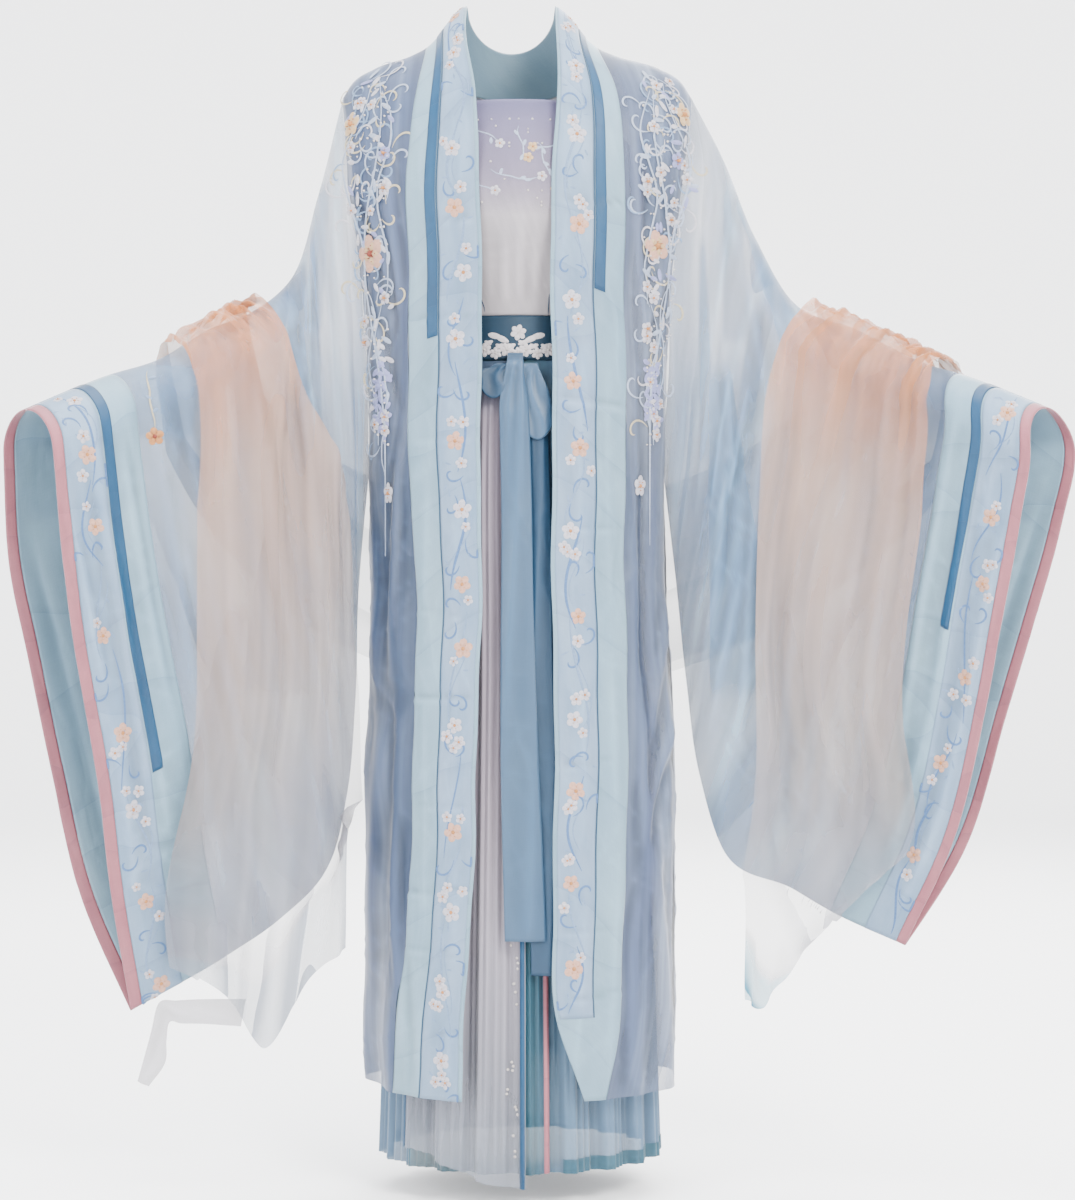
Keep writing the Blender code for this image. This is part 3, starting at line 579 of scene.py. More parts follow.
def linear(colour):
    """Scene values of an ordinary 0 to 255 colour."""
    c = np.array(colour) / 255
    c = np.where(c < 0.04045, c / 12.92, ((c + 0.055) / 1.055) ** 2.4)
    grey = c.mean()
    return tuple(np.clip((grey + (c - grey) * VIVID) * DYE, 0, 1))


# The lamps are bright so that the floor is pale, and the dyes are deeper and stronger to suit them
DYE = 0.42
VIVID = 1.40
# Tints of the shaded side of threads and folds, and how they run from one fold to the next
SHADE = (0.76, 0.76, 0.80)
DEEP = (0.60, 0.66, 0.76)
FULL = (1.0, 1.0, 1.0)
FALLS = ((0.0, DEEP), (0.10, DEEP), (0.45, FULL), (1.0, FULL))
FOLD_LINES = ((0.0, DEEP), (0.02, SHADE), (0.12, FULL), (0.9, FULL))
THREAD_HIGH = 0.0004


class Nodes:
    """A material's nodes, made and joined by name."""

    def __init__(self, name):
        self.material = bpy.data.materials.new(name)
        self.material.use_nodes = True
        self.tree = self.material.node_tree
        self.shader = self.tree.nodes["Principled BSDF"]
        self.place = self.new("ShaderNodeTexCoord").outputs["UV"]

    def new(self, kind, **values):
        node = self.tree.nodes.new(kind)
        for key, value in values.items():
            if key in node.inputs.keys():
                node.inputs[key].default_value = value
            else:
                setattr(node, key, value)
        return node

    def join(self, a, b):
        self.tree.links.new(a, b)

    def stretched(self, x, y):
        """The cloth's own lengths, in metres, times x across and y along."""
        node = self.new("ShaderNodeMapping")
        node.inputs["Scale"].default_value = (x, y, 1)
        self.join(self.place, node.inputs["Vector"])
        return node.outputs["Vector"]

    def noise(self, x, y, detail=3.0):
        node = self.new("ShaderNodeTexNoise", Scale=1.0, Detail=detail, Roughness=0.6)
        self.join(self.stretched(x, y), node.inputs["Vector"])
        return node.outputs["Fac"]

    def threads(self):
        """Fine uneven threads both ways."""
        return self.blend(self.noise(900, 60, 2.0), self.noise(60, 900, 2.0), 0.5)

    def kept(self, name):
        """A value kept on the cloth's points."""
        return self.new("ShaderNodeAttribute", attribute_name=name).outputs["Fac"]

    def folds(self, x, y, count):
        """Runs from 0 at the edge of a fold to 1 just before the next, in long uneven falls."""
        many = self.new("ShaderNodeMath", operation="MULTIPLY")
        many.inputs[1].default_value = count
        self.join(self.noise(x, y, 1.0), many.inputs[0])
        part = self.new("ShaderNodeMath", operation="FRACT")
        self.join(many.outputs[0], part.inputs[0])
        return part.outputs[0]

    def ranged(self, value, low, high, at=(0.0, 1.0)):
        node = self.new("ShaderNodeMapRange")
        self.join(value, node.inputs["Value"])
        for key, number in (("From Min", at[0]), ("From Max", at[1]), ("To Min", low), ("To Max", high)):
            node.inputs[key].default_value = number
        return node.outputs["Result"]

    def times(self, a, b):
        node = self.new("ShaderNodeMath", operation="MULTIPLY")
        self.join(a, node.inputs[0])
        self.join(b, node.inputs[1])
        return node.outputs[0]

    def ramp(self, value, stops, dyed=True):
        node = self.new("ShaderNodeValToRGB")
        while len(node.color_ramp.elements) < len(stops):
            node.color_ramp.elements.new(0.5)
        for element, (at, colour) in zip(node.color_ramp.elements, stops):
            element.position = at
            element.color = (*(linear(colour) if dyed else colour), 1)
        self.join(value, node.inputs["Fac"])
        return node.outputs["Color"]

    def blend(self, a, b, share, how="MIX"):
        node = self.new("ShaderNodeMix", data_type="RGBA", blend_type=how)
        for value, socket in ((share, node.inputs["Factor"]), (a, node.inputs["A"]), (b, node.inputs["B"])):
            if hasattr(value, "links"):
                self.join(value, socket)
            else:
                socket.default_value = value
        return node.outputs["Result"]

    def painted_fold_shade(self, colour, deep=0.66, high=1.0):
        """The colour with painted shade in the bottoms of folds, by how far each point stands out of the
        cloth round it; a high above 1 paints light on the crests.
        """
        return self.blend(colour, self.ranged(self.kept("shade_in_folds"), deep, high), 1.0, "MULTIPLY")

    def bump(self, height, strength, distance):
        node = self.new("ShaderNodeBump", Strength=strength, Distance=distance)
        self.join(height, node.inputs["Height"])
        for link in self.shader.inputs["Normal"].links:
            self.join(link.from_socket, node.inputs["Normal"])
        self.join(node.outputs["Normal"], self.shader.inputs["Normal"])

    def finish(self, colour, roughness, alpha=1.0, sheen=0.2):
        self.join(colour, self.shader.inputs["Base Color"])
        self.shader.inputs["Roughness"].default_value = roughness
        self.shader.inputs["Sheen Weight"].default_value = sheen
        self.shader.inputs["Sheen Roughness"].default_value = 0.4
        self.shader.inputs["Specular IOR Level"].default_value = 0.3
        self.shader.inputs["Alpha"].default_value = alpha
        return self.material


def woven(name, pale, deep, roughness=0.55, alpha=1.0, sheen=0.2, cloud=7.0, slub=0.35, fold_line_shade=0.0):
    """Cloth that varies softly between two colours, with uneven threads both ways, painted shade in its
    folds, and pressed fold lines bumped in and darkened with painted shade.
    """
    make = Nodes(name)
    colour = make.ramp(make.noise(cloud * 1.6, cloud * 0.5), ((0.30, deep), (0.70, pale)))
    threads = make.threads()
    tint = make.ramp(threads, ((0.35, SHADE), (0.65, FULL)), False)
    colour = make.painted_fold_shade(make.blend(colour, tint, slub, "MULTIPLY"))
    make.bump(threads, 0.25, THREAD_HIGH)
    if fold_line_shade:
        # Painted shade along the pressed fold lines
        fold = make.folds(2.4, 6.5, 4.0)
        colour = make.blend(colour, make.ramp(fold, FOLD_LINES, False), fold_line_shade, "MULTIPLY")
        make.bump(fold, 0.5, 0.0016)
    return make.finish(colour, roughness, alpha, sheen)


def sheer(name, stops, lap_and_shadow_colour, thin, dense, across, down, fold_shade_and_thinning):
    """See-through cloth that falls in long streaks, paler and denser by turns, with painted shade in its
    folds; where the kept tone is high it takes a second colour and a denser cover.
    """
    make = Nodes(name)
    streaks = make.blend(make.noise(across, down, 2.0), make.noise(across * 3.1, down * 1.3, 3.0), 0.30)
    fold = make.folds(across * 0.30, down * 0.55, 6.0)
    shaded = make.ramp(fold, FALLS, False)
    colour = make.blend(make.ramp(streaks, stops), shaded, fold_shade_and_thinning, "MULTIPLY")
    make.bump(make.threads(), 0.25, THREAD_HIGH)
    # The kept tone marks where a sleeve lies double and lower down, a painted shadow on the robe's front, and
    # the top of the back
    double = make.kept("tone")
    colour = make.blend(colour, (*linear(lap_and_shadow_colour), 1), make.ranged(double, 0.0, 0.7))
    cover = make.ranged(make.noise(across * 0.5, down * 0.8, 3.0), thin, dense, (0.36, 0.64))
    cover = make.times(cover, make.ranged(fold, 1.0, 1.0 - 0.4 * fold_shade_and_thinning * fold_shade_and_thinning, (0.1, 0.6)))
    cover = make.blend(cover, (0.96, 0.96, 0.96, 1), make.ranged(double, 0.0, 0.7))
    # Painted shade in the bottoms of folds and painted light on their crests
    made = make.finish(make.painted_fold_shade(colour, 0.56, 1.08), 0.5, 1.0, 0.12)
    make.join(cover, make.shader.inputs["Alpha"])
    return made


def graded(name, stops, alpha, deep=0.66, fold_shade_and_thinning=0.0):
    """Cloth whose colour runs from one end to the other, by the value kept on its points. Alpha is one
    number, or stops for the same value."""
    make = Nodes(name)
    tone = make.kept("tone")
    colour = make.ramp(tone, stops)
    # Painted shade in the falls of the folds, which also thin the cover there when alpha is given as stops
    fold = make.folds(7, 0.9, 6.0)
    colour = make.blend(colour, make.ramp(fold, FALLS, False), fold_shade_and_thinning, "MULTIPLY")
    cloud = make.ramp(make.noise(9, 4), ((0.3, SHADE), (0.7, FULL)), False)
    lines = make.ramp(make.noise(110, 1.6, 3.0), ((0.35, SHADE), (0.6, FULL)), False)
    colour = make.blend(make.blend(colour, cloud, 0.35, "MULTIPLY"), lines, 0.35, "MULTIPLY")
    colour = make.painted_fold_shade(colour, deep)
    make.bump(make.threads(), 0.2, THREAD_HIGH)
    if not hasattr(alpha, "__len__"):
        return make.finish(colour, 0.6, alpha, 0.3)
    made = make.finish(colour, 0.6, 1.0, 0.3)
    cover = make.ramp(tone, [(at, (value,) * 3) for at, value in alpha], False)
    falls = make.ranged(fold, 1.0, 1.0 - 0.5 * fold_shade_and_thinning, (0.1, 0.6))
    make.join(make.times(cover, falls), make.shader.inputs["Alpha"])
    return made


def plain(name, colour, roughness=0.5):
    """Thread or bead in one dye, with a fine uneven grain."""
    make = Nodes(name)
    darker = tuple(int(c * 0.88) for c in colour)
    made = make.ramp(make.noise(300, 300, 2.0), ((0.3, darker), (0.7, colour)))
    make.bump(make.noise(1500, 300, 1.0), 0.3, 0.0003)
    return make.finish(made, roughness, 1.0, 0.1)


def added(name, data):
    """A new object in the scene."""
    made = bpy.data.objects.new(name, data)
    bpy.context.scene.collection.objects.link(made)
    return made


def blurred(field, reach):
    """A grid averaged over some steps each way."""
    for axis in (0, 1):
        steps = min(reach, field.shape[axis] - 1)
        first, last = field.take([0], axis), field.take([-1], axis)
        padded = np.repeat(first, steps + 1, axis), field, np.repeat(last, steps, axis)
        total = np.cumsum(np.concatenate(padded, axis), axis=axis)
        count = field.shape[axis]
        high = total.take(range(2 * steps + 1, 2 * steps + 1 + count), axis)
        field = (high - total.take(range(count), axis)) / (2 * steps + 1)
    return field


def fold_shade_mask(points, depth=0.0009, reach=0.011):
    """How far each point stands out of the cloth round it, from 0 in a fold's bottom to 1 on its crest, as
    the mask for painted shade in folds.
    """
    step = np.linalg.norm(np.diff(points, axis=1), axis=-1).mean()
    smooth = blurred(points, max(2, int(round(reach / step))))
    edge = np.ones(points.shape[:2])
    for axis in (0, 1):
        at = np.minimum(np.arange(points.shape[axis]), np.arange(points.shape[axis])[::-1]) / 5
        edge = edge * ease(at)[:, None] if axis == 0 else edge * ease(at)[None, :]
    stand = ((points - smooth) * outward(points)).sum(axis=-1) * edge
    return np.clip(0.5 + 0.5 * stand / depth, 0, 1)


def lengths(points):
    """Each point's distance along its row and down its column, in metres."""
    across = np.linalg.norm(np.diff(points, axis=1), axis=-1)
    down = np.linalg.norm(np.diff(points, axis=0), axis=-1)
    u = np.concatenate([np.zeros((len(points), 1)), np.cumsum(across, axis=1)], axis=1)
    v = np.concatenate([np.zeros((1, points.shape[1])), np.cumsum(down, axis=0)], axis=0)
    return u, v


def dress(name, points, cloth, thick=0.0, held="hung", tone=None):
    """A sheet of cloth over a grid of points. It stands for the CAD node of its name, which is hidden
    unless held is None."""
    rows, columns = points.shape[:2]
    index = np.arange(rows * columns).reshape(rows, columns)
    quads = np.stack([index[:-1, :-1], index[1:, :-1], index[1:, 1:], index[:-1, 1:]], axis=-1)
    mesh = bpy.data.meshes.new(name + "_cloth")
    mesh.from_pydata(points.reshape(-1, 3).tolist(), [], quads.reshape(-1, 4).tolist())
    u, v = lengths(points)
    corners = quads.reshape(-1)
    flat = np.stack([u.reshape(-1)[corners], v.reshape(-1)[corners]], axis=-1)
    mesh.uv_layers.new(name="cut").data.foreach_set("uv", flat.reshape(-1))
    for kind, values in (("tone", tone), ("shade_in_folds", fold_shade_mask(points))):
        if values is not None:
            kept = mesh.attributes.new(kind, "FLOAT", "POINT")
            values = np.broadcast_to(values, (rows, columns)).reshape(-1)
            kept.data.foreach_set("value", values.astype(np.float32))
    mesh.materials.append(USE[cloth])
    mesh.shade_smooth()
    made = added(name + "_cloth", mesh)
    if thick:
        wall = made.modifiers.new("thickness", "SOLIDIFY")
        wall.thickness = thick
        wall.offset = -1
    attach(made, "root")
    if held:
        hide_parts(name)


class Laid:
    """Flat shapes laid on a cloth's points, such as petals, leaves and stems, kept by their thread."""

    def __init__(self, points, lift):
        self.points = points
        self.normal = outward(points)
        self.down = np.gradient(points, axis=0)
        self.across = np.gradient(points, axis=1)
        self.lift = lift
        self.found = []
        self.faces = []
        self.threads = []

    def at(self, i, j):
        """Point and outward direction at any place of the grid."""
        i = np.clip(i, 0, self.points.shape[0] - 1.001)
        j = np.clip(j, 0, self.points.shape[1] - 1.001)
        a, b = np.floor(i).astype(int), np.floor(j).astype(int)
        s, t = (i - a)[..., None], (j - b)[..., None]
        made = []
        for field in (self.points, self.normal):
            top = field[a, b] * (1 - t) + field[a, b + 1] * t
            low = field[a + 1, b] * (1 - t) + field[a + 1, b + 1] * t
            made.append(top * (1 - s) + low * s)
        return made

    def near(self, x, z):
        """The grid place seen from the front at a width and a height."""
        away = (self.points[..., 0] - x) ** 2 + (self.points[..., 2] - z) ** 2
        i, j = np.unravel_index(np.argmin(away), away.shape)
        return float(i), float(j)

    def inside(self, i, j, by=1.0):
        rows, columns = self.points.shape[:2]
        return by <= i <= rows - 1 - by and by <= j <= columns - 1 - by

    def steps(self, i, j):
        """How far a metre up and a metre across is, counted in the grid's rows and columns."""
        a = int(np.clip(i, 0, self.points.shape[0] - 1))
        b = int(np.clip(j, 0, self.points.shape[1] - 1))
        down, across, normal = self.down[a, b], self.across[a, b], self.normal[a, b]
        up = np.array((0.0, 0.0, 1.0)) - normal * normal[2]
        up = up / max(np.linalg.norm(up), 1e-6)
        side = np.cross(up, normal)
        basis = np.array(((down @ down, down @ across), (down @ across, across @ across)))
        turn = np.linalg.inv(basis + 1e-12 * np.eye(2))
        return turn @ np.array((down @ side, across @ side)), turn @ np.array((down @ up, across @ up))

    def grid_places(self, i, j, flat):
        """Rows and columns of points given in metres across and up from a grid place."""
        side, up = self.steps(i, j)
        flat = np.asarray(flat, float)
        rows = i + flat[:, 0] * side[0] + flat[:, 1] * up[0]
        return rows, j + flat[:, 0] * side[1] + flat[:, 1] * up[1]

    def add(self, i, j, flat, high, faces, thread):
        """A shape given in metres across and up from a grid place, with its height over the cloth."""
        point, normal = self.at(*self.grid_places(i, j, flat))
        first = sum(len(f) for f in self.found)
        self.found.append(point + normal * (self.lift + np.asarray(high, float))[:, None])
        self.faces += [tuple(first + k for k in face) for face in faces]
        self.threads += [thread] * len(faces)

    def petal(self, i, j, turn, near, far, wide, thread, high=0.0006):
        """A rounded petal from near to far out along a direction, raised along its middle."""
        shape = ((0, 0.25), (0.18, 0.72), (0.45, 1.0), (0.75, 0.9), (0.95, 0.45), (1, 0.0))
        side = [(near + (far - near) * t, wide * w) for t, w in shape]
        edge = side + [(a, -w) for a, w in side[-2::-1]]
        middle = [(near, 0.0), (near + 0.5 * (far - near), 0.0)]
        c, s = math.cos(turn), math.sin(turn)
        flat = [(a * c - w * s, a * s + w * c) for a, w in edge + middle]
        count = len(edge)
        faces = [(count + 1, k + 1, k) for k in range(count)] + [(count + 1, 0, count)]
        self.add(i, j, flat, [0.0] * count + [high * 0.4, high], faces, thread)

    def disc(self, i, j, x, y, radius, thread, high=0.0006, sides=8):
        turns = np.linspace(0, 2 * math.pi, sides, endpoint=False)
        ring = [(x + radius * math.cos(t), y + radius * math.sin(t)) for t in turns]
        inner = [(x + 0.6 * radius * math.cos(t), y + 0.6 * radius * math.sin(t)) for t in turns]
        flat = ring + inner + [(x, y)]
        heights = [0.0] * sides + [0.8 * high] * sides + [high]
        faces = []
        for k in range(sides):
            after = (k + 1) % sides
            faces += [(k, after, sides + after, sides + k), (sides + k, sides + after, 2 * sides)]
        self.add(i, j, flat, heights, faces, thread)

    def blossom(self, i, j, radius, turn, petal, centre, petals=5, high=0.0012):
        """A flower of separate petals round a raised centre with a ring of stamens."""
        for k in range(petals):
            angle = turn + 2 * math.pi * k / petals
            self.petal(i, j, angle, 0.12 * radius, radius, 0.40 * radius * 5 / petals, petal, high)
        self.disc(i, j, 0, 0, 0.22 * radius, centre, high * 1.5)
        for k in range(petals):
            angle = turn + 2 * math.pi * (k + 0.5) / petals
            x, y = 0.42 * radius * math.cos(angle), 0.42 * radius * math.sin(angle)
            self.disc(i, j, x, y, 0.06 * radius, centre, high * 1.4, 5)

    def ribbon(self, path, wide, thread, high=0.0003):
        """A stem along grid places: path is a list of (i, j), wide its width in metres."""
        path = np.asarray(path, float)
        point, normal = self.at(path[:, 0], path[:, 1])
        along = np.gradient(point, axis=0)
        along = along / np.maximum(np.linalg.norm(along, axis=1, keepdims=True), 1e-9)
        aside_of = np.cross(along, normal)
        share = np.linspace(0, 1, len(path))
        half = wide / 2 * np.minimum(1, 0.25 + 3 * np.minimum(share, 1 - share))
        first = sum(len(f) for f in self.found)
        middle = point + normal * (self.lift + high)
        left = point + normal * self.lift + aside_of * half[:, None]
        right = point + normal * self.lift - aside_of * half[:, None]
        self.found.append(np.concatenate([left, middle, right]))
        count = len(path)
        for k in range(first, first + count - 1):
            self.faces.append((k, k + 1, count + k + 1, count + k))
            self.faces.append((count + k, count + k + 1, 2 * count + k + 1, 2 * count + k))
            self.threads += [thread, thread]

    def curve(self, i, j, flat, wide, thread):
        """A stem through points in metres across and up from a grid place."""
        self.ribbon(np.stack(self.grid_places(i, j, flat), axis=-1), wide, thread)

    def curl(self, i, j, x, y, turn, size, hand, wide, thread):
        """A tendril that winds up at its end."""
        t = np.linspace(0, 1, 14)
        angle = turn + hand * 4.4 * t**1.4
        step = size * (1 - 0.75 * t) / 14 * 2.2
        flat = np.stack([x + np.cumsum(step * np.cos(angle)), y + np.cumsum(step * np.sin(angle))], axis=-1)
        self.curve(i, j, flat, wide, thread)

    def make(self, name, slot):
        """One object of all the shapes laid so far."""
        points = np.concatenate(self.found)
        mesh = bpy.data.meshes.new(name)
        mesh.from_pydata(points.tolist(), [], self.faces)
        order = list(dict.fromkeys(self.threads))
        for thread in order:
            mesh.materials.append(USE[thread])
        mesh.polygons.foreach_set("material_index", [order.index(t) for t in self.threads])
        corner = np.empty(len(mesh.loops), int)
        mesh.loops.foreach_get("vertex_index", corner)
        mesh.uv_layers.new(name="cut").data.foreach_set("uv", points[corner][:, [0, 2]].reshape(-1))
        mesh.shade_smooth()
        made = added(name, mesh)
        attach(made, "root")
        return made


# Places down the robe and the sleeves: 1 is below the shoulder's rounding, 2 the armpit or the sleeve's
# lower seam, and 3 the robe's hem
ROBE_DOWN = np.concatenate([np.linspace(1e-6, 1, 26), np.linspace(1, 2, 62)[1:], np.linspace(2, 3, 124)[1:]])
SLEEVE_DOWN = np.concatenate([np.linspace(1e-6, 1, 26), np.linspace(1, 2, 96)[1:]])
NAMES = ((RIGHT, "right"), (LEFT, "left"))

# Creases of the robe seen from the front: from width and height to width and height, how wide, how high
ROBE_CREASES = (
    (-0.178, -0.50, -0.150, -0.90, 0.0070, 0.0034),
    (-0.140, -0.42, -0.165, -0.86, 0.0055, -0.0026),
    (-0.160, -0.70, -0.168, -1.19, 0.0080, 0.0040),
    (-0.145, -0.86, -0.128, -1.20, 0.0060, 0.0030),
    (-0.150, -0.10, -0.128, -0.34, 0.0060, 0.0024),
    (-0.185, -0.16, -0.150, -0.30, 0.0055, -0.0020),
    (-0.172, -0.30, -0.140, -0.44, 0.0060, 0.0022),
    (0.135, -0.10, 0.150, -0.40, 0.0060, 0.0024),
    (0.178, -0.22, 0.140, -0.36, 0.0055, 0.0022),
    (0.150, -0.44, 0.138, -0.80, 0.0065, -0.0028),
    (0.128, -0.52, 0.152, -0.98, 0.0060, 0.0030),
    (0.175, -0.62, 0.150, -0.82, 0.0075, 0.0036),
    (0.185, -0.76, 0.142, -0.93, 0.0060, 0.0034),
    (0.160, -0.90, 0.172, -1.19, 0.0080, 0.0038),
    (0.130, -0.94, 0.120, -1.20, 0.0060, -0.0026),
)
BACK_CREASES = (
    (0.060, -0.16, 0.030, -0.52, 0.0070, 0.0024),
    (-0.075, -0.18, -0.040, -0.56, 0.0070, 0.0024),
    (0.120, -0.34, 0.090, -0.80, 0.0080, 0.0032),
    (-0.115, -0.36, -0.100, -0.84, 0.0080, 0.0032),
    (0.020, -0.46, 0.035, -1.18, 0.0090, 0.0034),
    (-0.050, -0.60, -0.060, -1.19, 0.0080, -0.0030),
    (0.100, -0.66, 0.115, -1.19, 0.0080, 0.0036),
    (-0.150, -0.56, -0.140, -1.18, 0.0080, 0.0034),
    (0.160, -0.50, 0.150, -0.98, 0.0070, -0.0028),
)
# Pressed fold lines across the lapels, as heights
PRESSED = {
    RIGHT: (-0.205, -0.318, -0.452, -0.571, -0.664, -0.748, -0.871, -0.962, -1.047, -1.128),
    LEFT: (-0.188, -0.296, -0.407, -0.556, -0.641, -0.722, -0.829, -0.921, -1.012, -1.096),
}
# Creases of a sleeve, as distance out from the middle and height
SLEEVE_CREASES = {
    RIGHT: (
        (0.470, -0.43, 0.400, -0.98, 0.0060, 0.0032),
        (0.440, -0.41, 0.378, -0.80, 0.0050, -0.0024),
        (0.415, -0.40, 0.330, -1.02, 0.0070, 0.0036),
        (0.380, -0.38, 0.300, -0.92, 0.0060, 0.0030),
        (0.335, -0.36, 0.262, -0.88, 0.0070, 0.0036),
        (0.300, -0.34, 0.235, -0.78, 0.0060, -0.0026),
        (0.262, -0.28, 0.218, -0.70, 0.0065, 0.0030),
        (0.232, -0.16, 0.250, -0.40, 0.0060, 0.0026),
        (0.500, -0.50, 0.452, -0.76, 0.0045, 0.0022),
        (0.250, -0.24, 0.330, -0.40, 0.0060, 0.0022),
    ),
    LEFT: (
        (0.236, -0.14, 0.300, -0.44, 0.0070, 0.0034),
        (0.262, -0.17, 0.372, -0.42, 0.0060, 0.0028),
        (0.226, -0.28, 0.250, -0.62, 0.0060, -0.0026),
        (0.248, -0.36, 0.225, -0.74, 0.0070, 0.0034),
        (0.292, -0.38, 0.252, -0.86, 0.0070, 0.0034),
        (0.330, -0.36, 0.296, -0.92, 0.0060, -0.0028),
        (0.385, -0.38, 0.330, -0.94, 0.0070, 0.0034),
        (0.440, -0.42, 0.378, -0.96, 0.0060, 0.0030),
        (0.478, -0.44, 0.420, -0.90, 0.0050, -0.0022),
        (0.512, -0.46, 0.455, -0.92, 0.0060, 0.0028),
    ),
}

# Long shapes where a sleeve lies double, in the same places: start, end, half width at each, how strong
DOUBLED = {
    RIGHT: (
        (0.452, -0.42, 0.405, -0.93, 0.016, 0.030, 0.9),
        (0.330, -0.42, 0.275, -0.86, 0.008, 0.030, 0.5),
        (0.262, -0.26, 0.226, -0.66, 0.010, 0.026, 0.8),
        (0.225, -0.14, 0.246, -0.34, 0.012, 0.022, 0.5),
        (0.300, -0.36, 0.235, -0.60, 0.006, 0.016, 0.6),
        (0.425, -0.360, 0.425, -0.462, 0.070, 0.060, 0.8),
    ),
    LEFT: (
        (0.232, -0.34, 0.270, -0.78, 0.014, 0.048, 1.0),
        (0.300, -0.62, 0.352, -0.93, 0.012, 0.040, 0.9),
        (0.258, -0.16, 0.345, -0.40, 0.010, 0.024, 0.7),
        (0.420, -0.46, 0.385, -0.95, 0.008, 0.028, 0.6),
        (0.480, -0.46, 0.452, -0.90, 0.010, 0.022, 0.8),
        (0.214, -0.20, 0.222, -0.50, 0.006, 0.014, 0.8),
    ),
}


def doubled(a, b, table):
    """How far the cloth lies double at each place, with a sharp edge to each shape."""
    found = np.zeros(np.shape(a))
    for a0, b0, a1, b1, near, far, strong in table:
        share = (b - b0) / (b1 - b0)
        half = near + (far - near) * share
        inside = ease((half - np.abs(a - a0 - (a1 - a0) * share)) / 0.006)
        found = np.maximum(found, strong * inside * ease(share * 8) * ease((1 - share) * 8))
    return found


def robe_creased(points, loose=1.0, side=0, lift=0.0):
    """The robe's points with its creases, shared by the pieces that meet at a seam."""
    x, z = seen_from_front(points)
    front = points[..., 1] < 0
    out = np.where(front, creases(x, z, ROBE_CREASES), creases(x, z, BACK_CREASES))
    out = out * 1.4 + 0.0016 * ripple(x, z * 0.22, 0.042, 3) + 0.0022 * crinkle(x, z, 0.050, 5)
    hang = 2 * math.pi * x / 0.034 + 1.6 * np.sin(3.3 * z + 9 * x) + 0.8 * np.sin(8 * z)
    hanging = 0.0017 * ridges(hang / 2)
    out = out + hanging * ease(0.5 + ripple(x, z, 0.20, 7)) * ease((-0.20 - z) / 0.3)
    fall = ease((-0.02 - z) / 0.10)
    out = out * fall * loose
    for height in PRESSED.get(side, ()):
        bent = z - height - 0.10 * x * math.sin(height * 50)
        deep = 0.5 + 0.5 * math.sin(height * 90)
        part = ease((np.sin(height * 130) * (np.abs(x) - 0.085) + 0.03) / 0.02)
        line = 0.0015 * np.exp(-((bent / 0.0018) ** 2)) - 0.0011 * np.exp(-(((bent - 0.005) / 0.0035) ** 2))
        out = out + deep * part * line
    return moved_out(points, out + lift)


def sleeve_creased(side, layer, along, lift=0.0, loose=1.0, last=2.0):
    """A layer of a sleeve with its creases, which fade at the folded edge above and the seam below."""
    down = SLEEVE_DOWN[SLEEVE_DOWN <= last + 1e-9]
    points = sleeve_points(side, np.asarray(along), layer * down)
    x, z = seen_from_front(points)
    out_from = side * x
    table = SLEEVE_CREASES[side]
    if layer < 0:
        table = [(a0 + 0.017, b0, a1 - 0.012, b1, wide, high) for a0, b0, a1, b1, wide, high in table]
    out = creases(out_from, z, table) * 1.5
    out = out + 0.0014 * ripple(out_from, z * 0.3, 0.05, 11 + side + 3 * layer)
    out = out + 0.0024 * crinkle(out_from, z, 0.055, 21 + side + 3 * layer)
    at = np.asarray(along)[None, :]
    turn = 2 * math.pi * at * 13 + 1.8 * np.sin(1.7 * down[:, None] + 5 * at)
    turn = turn if points[0, 0, 0] * side < points[0, -1, 0] * side else turn[:, ::-1]
    out = out + 0.0032 * ridges(turn / 2 + layer) * ease(0.55 + ripple(out_from, z, 0.22, 5 + layer))
    keep = ease(down / 0.8) * ease((2 - down) / 0.25)
    at_arm = ease((out_from - 0.19) / 0.06)
    out = out * keep[:, None] * at_arm * loose
    return moved_out(points, out + lift)


def print_strip(part, tag, band, seed, sideways=False):
    """A printed strip and the flowers laid on it."""
    dress(f"{part}_print_{tag}", band, "print", STRIP_WALL, "laid")
    flowers = Laid(band, FLOWER_LIFT)
    printed(flowers, seed, sideways)
    flowers.make(f"{part}_flowers_{tag}", "printed_band")


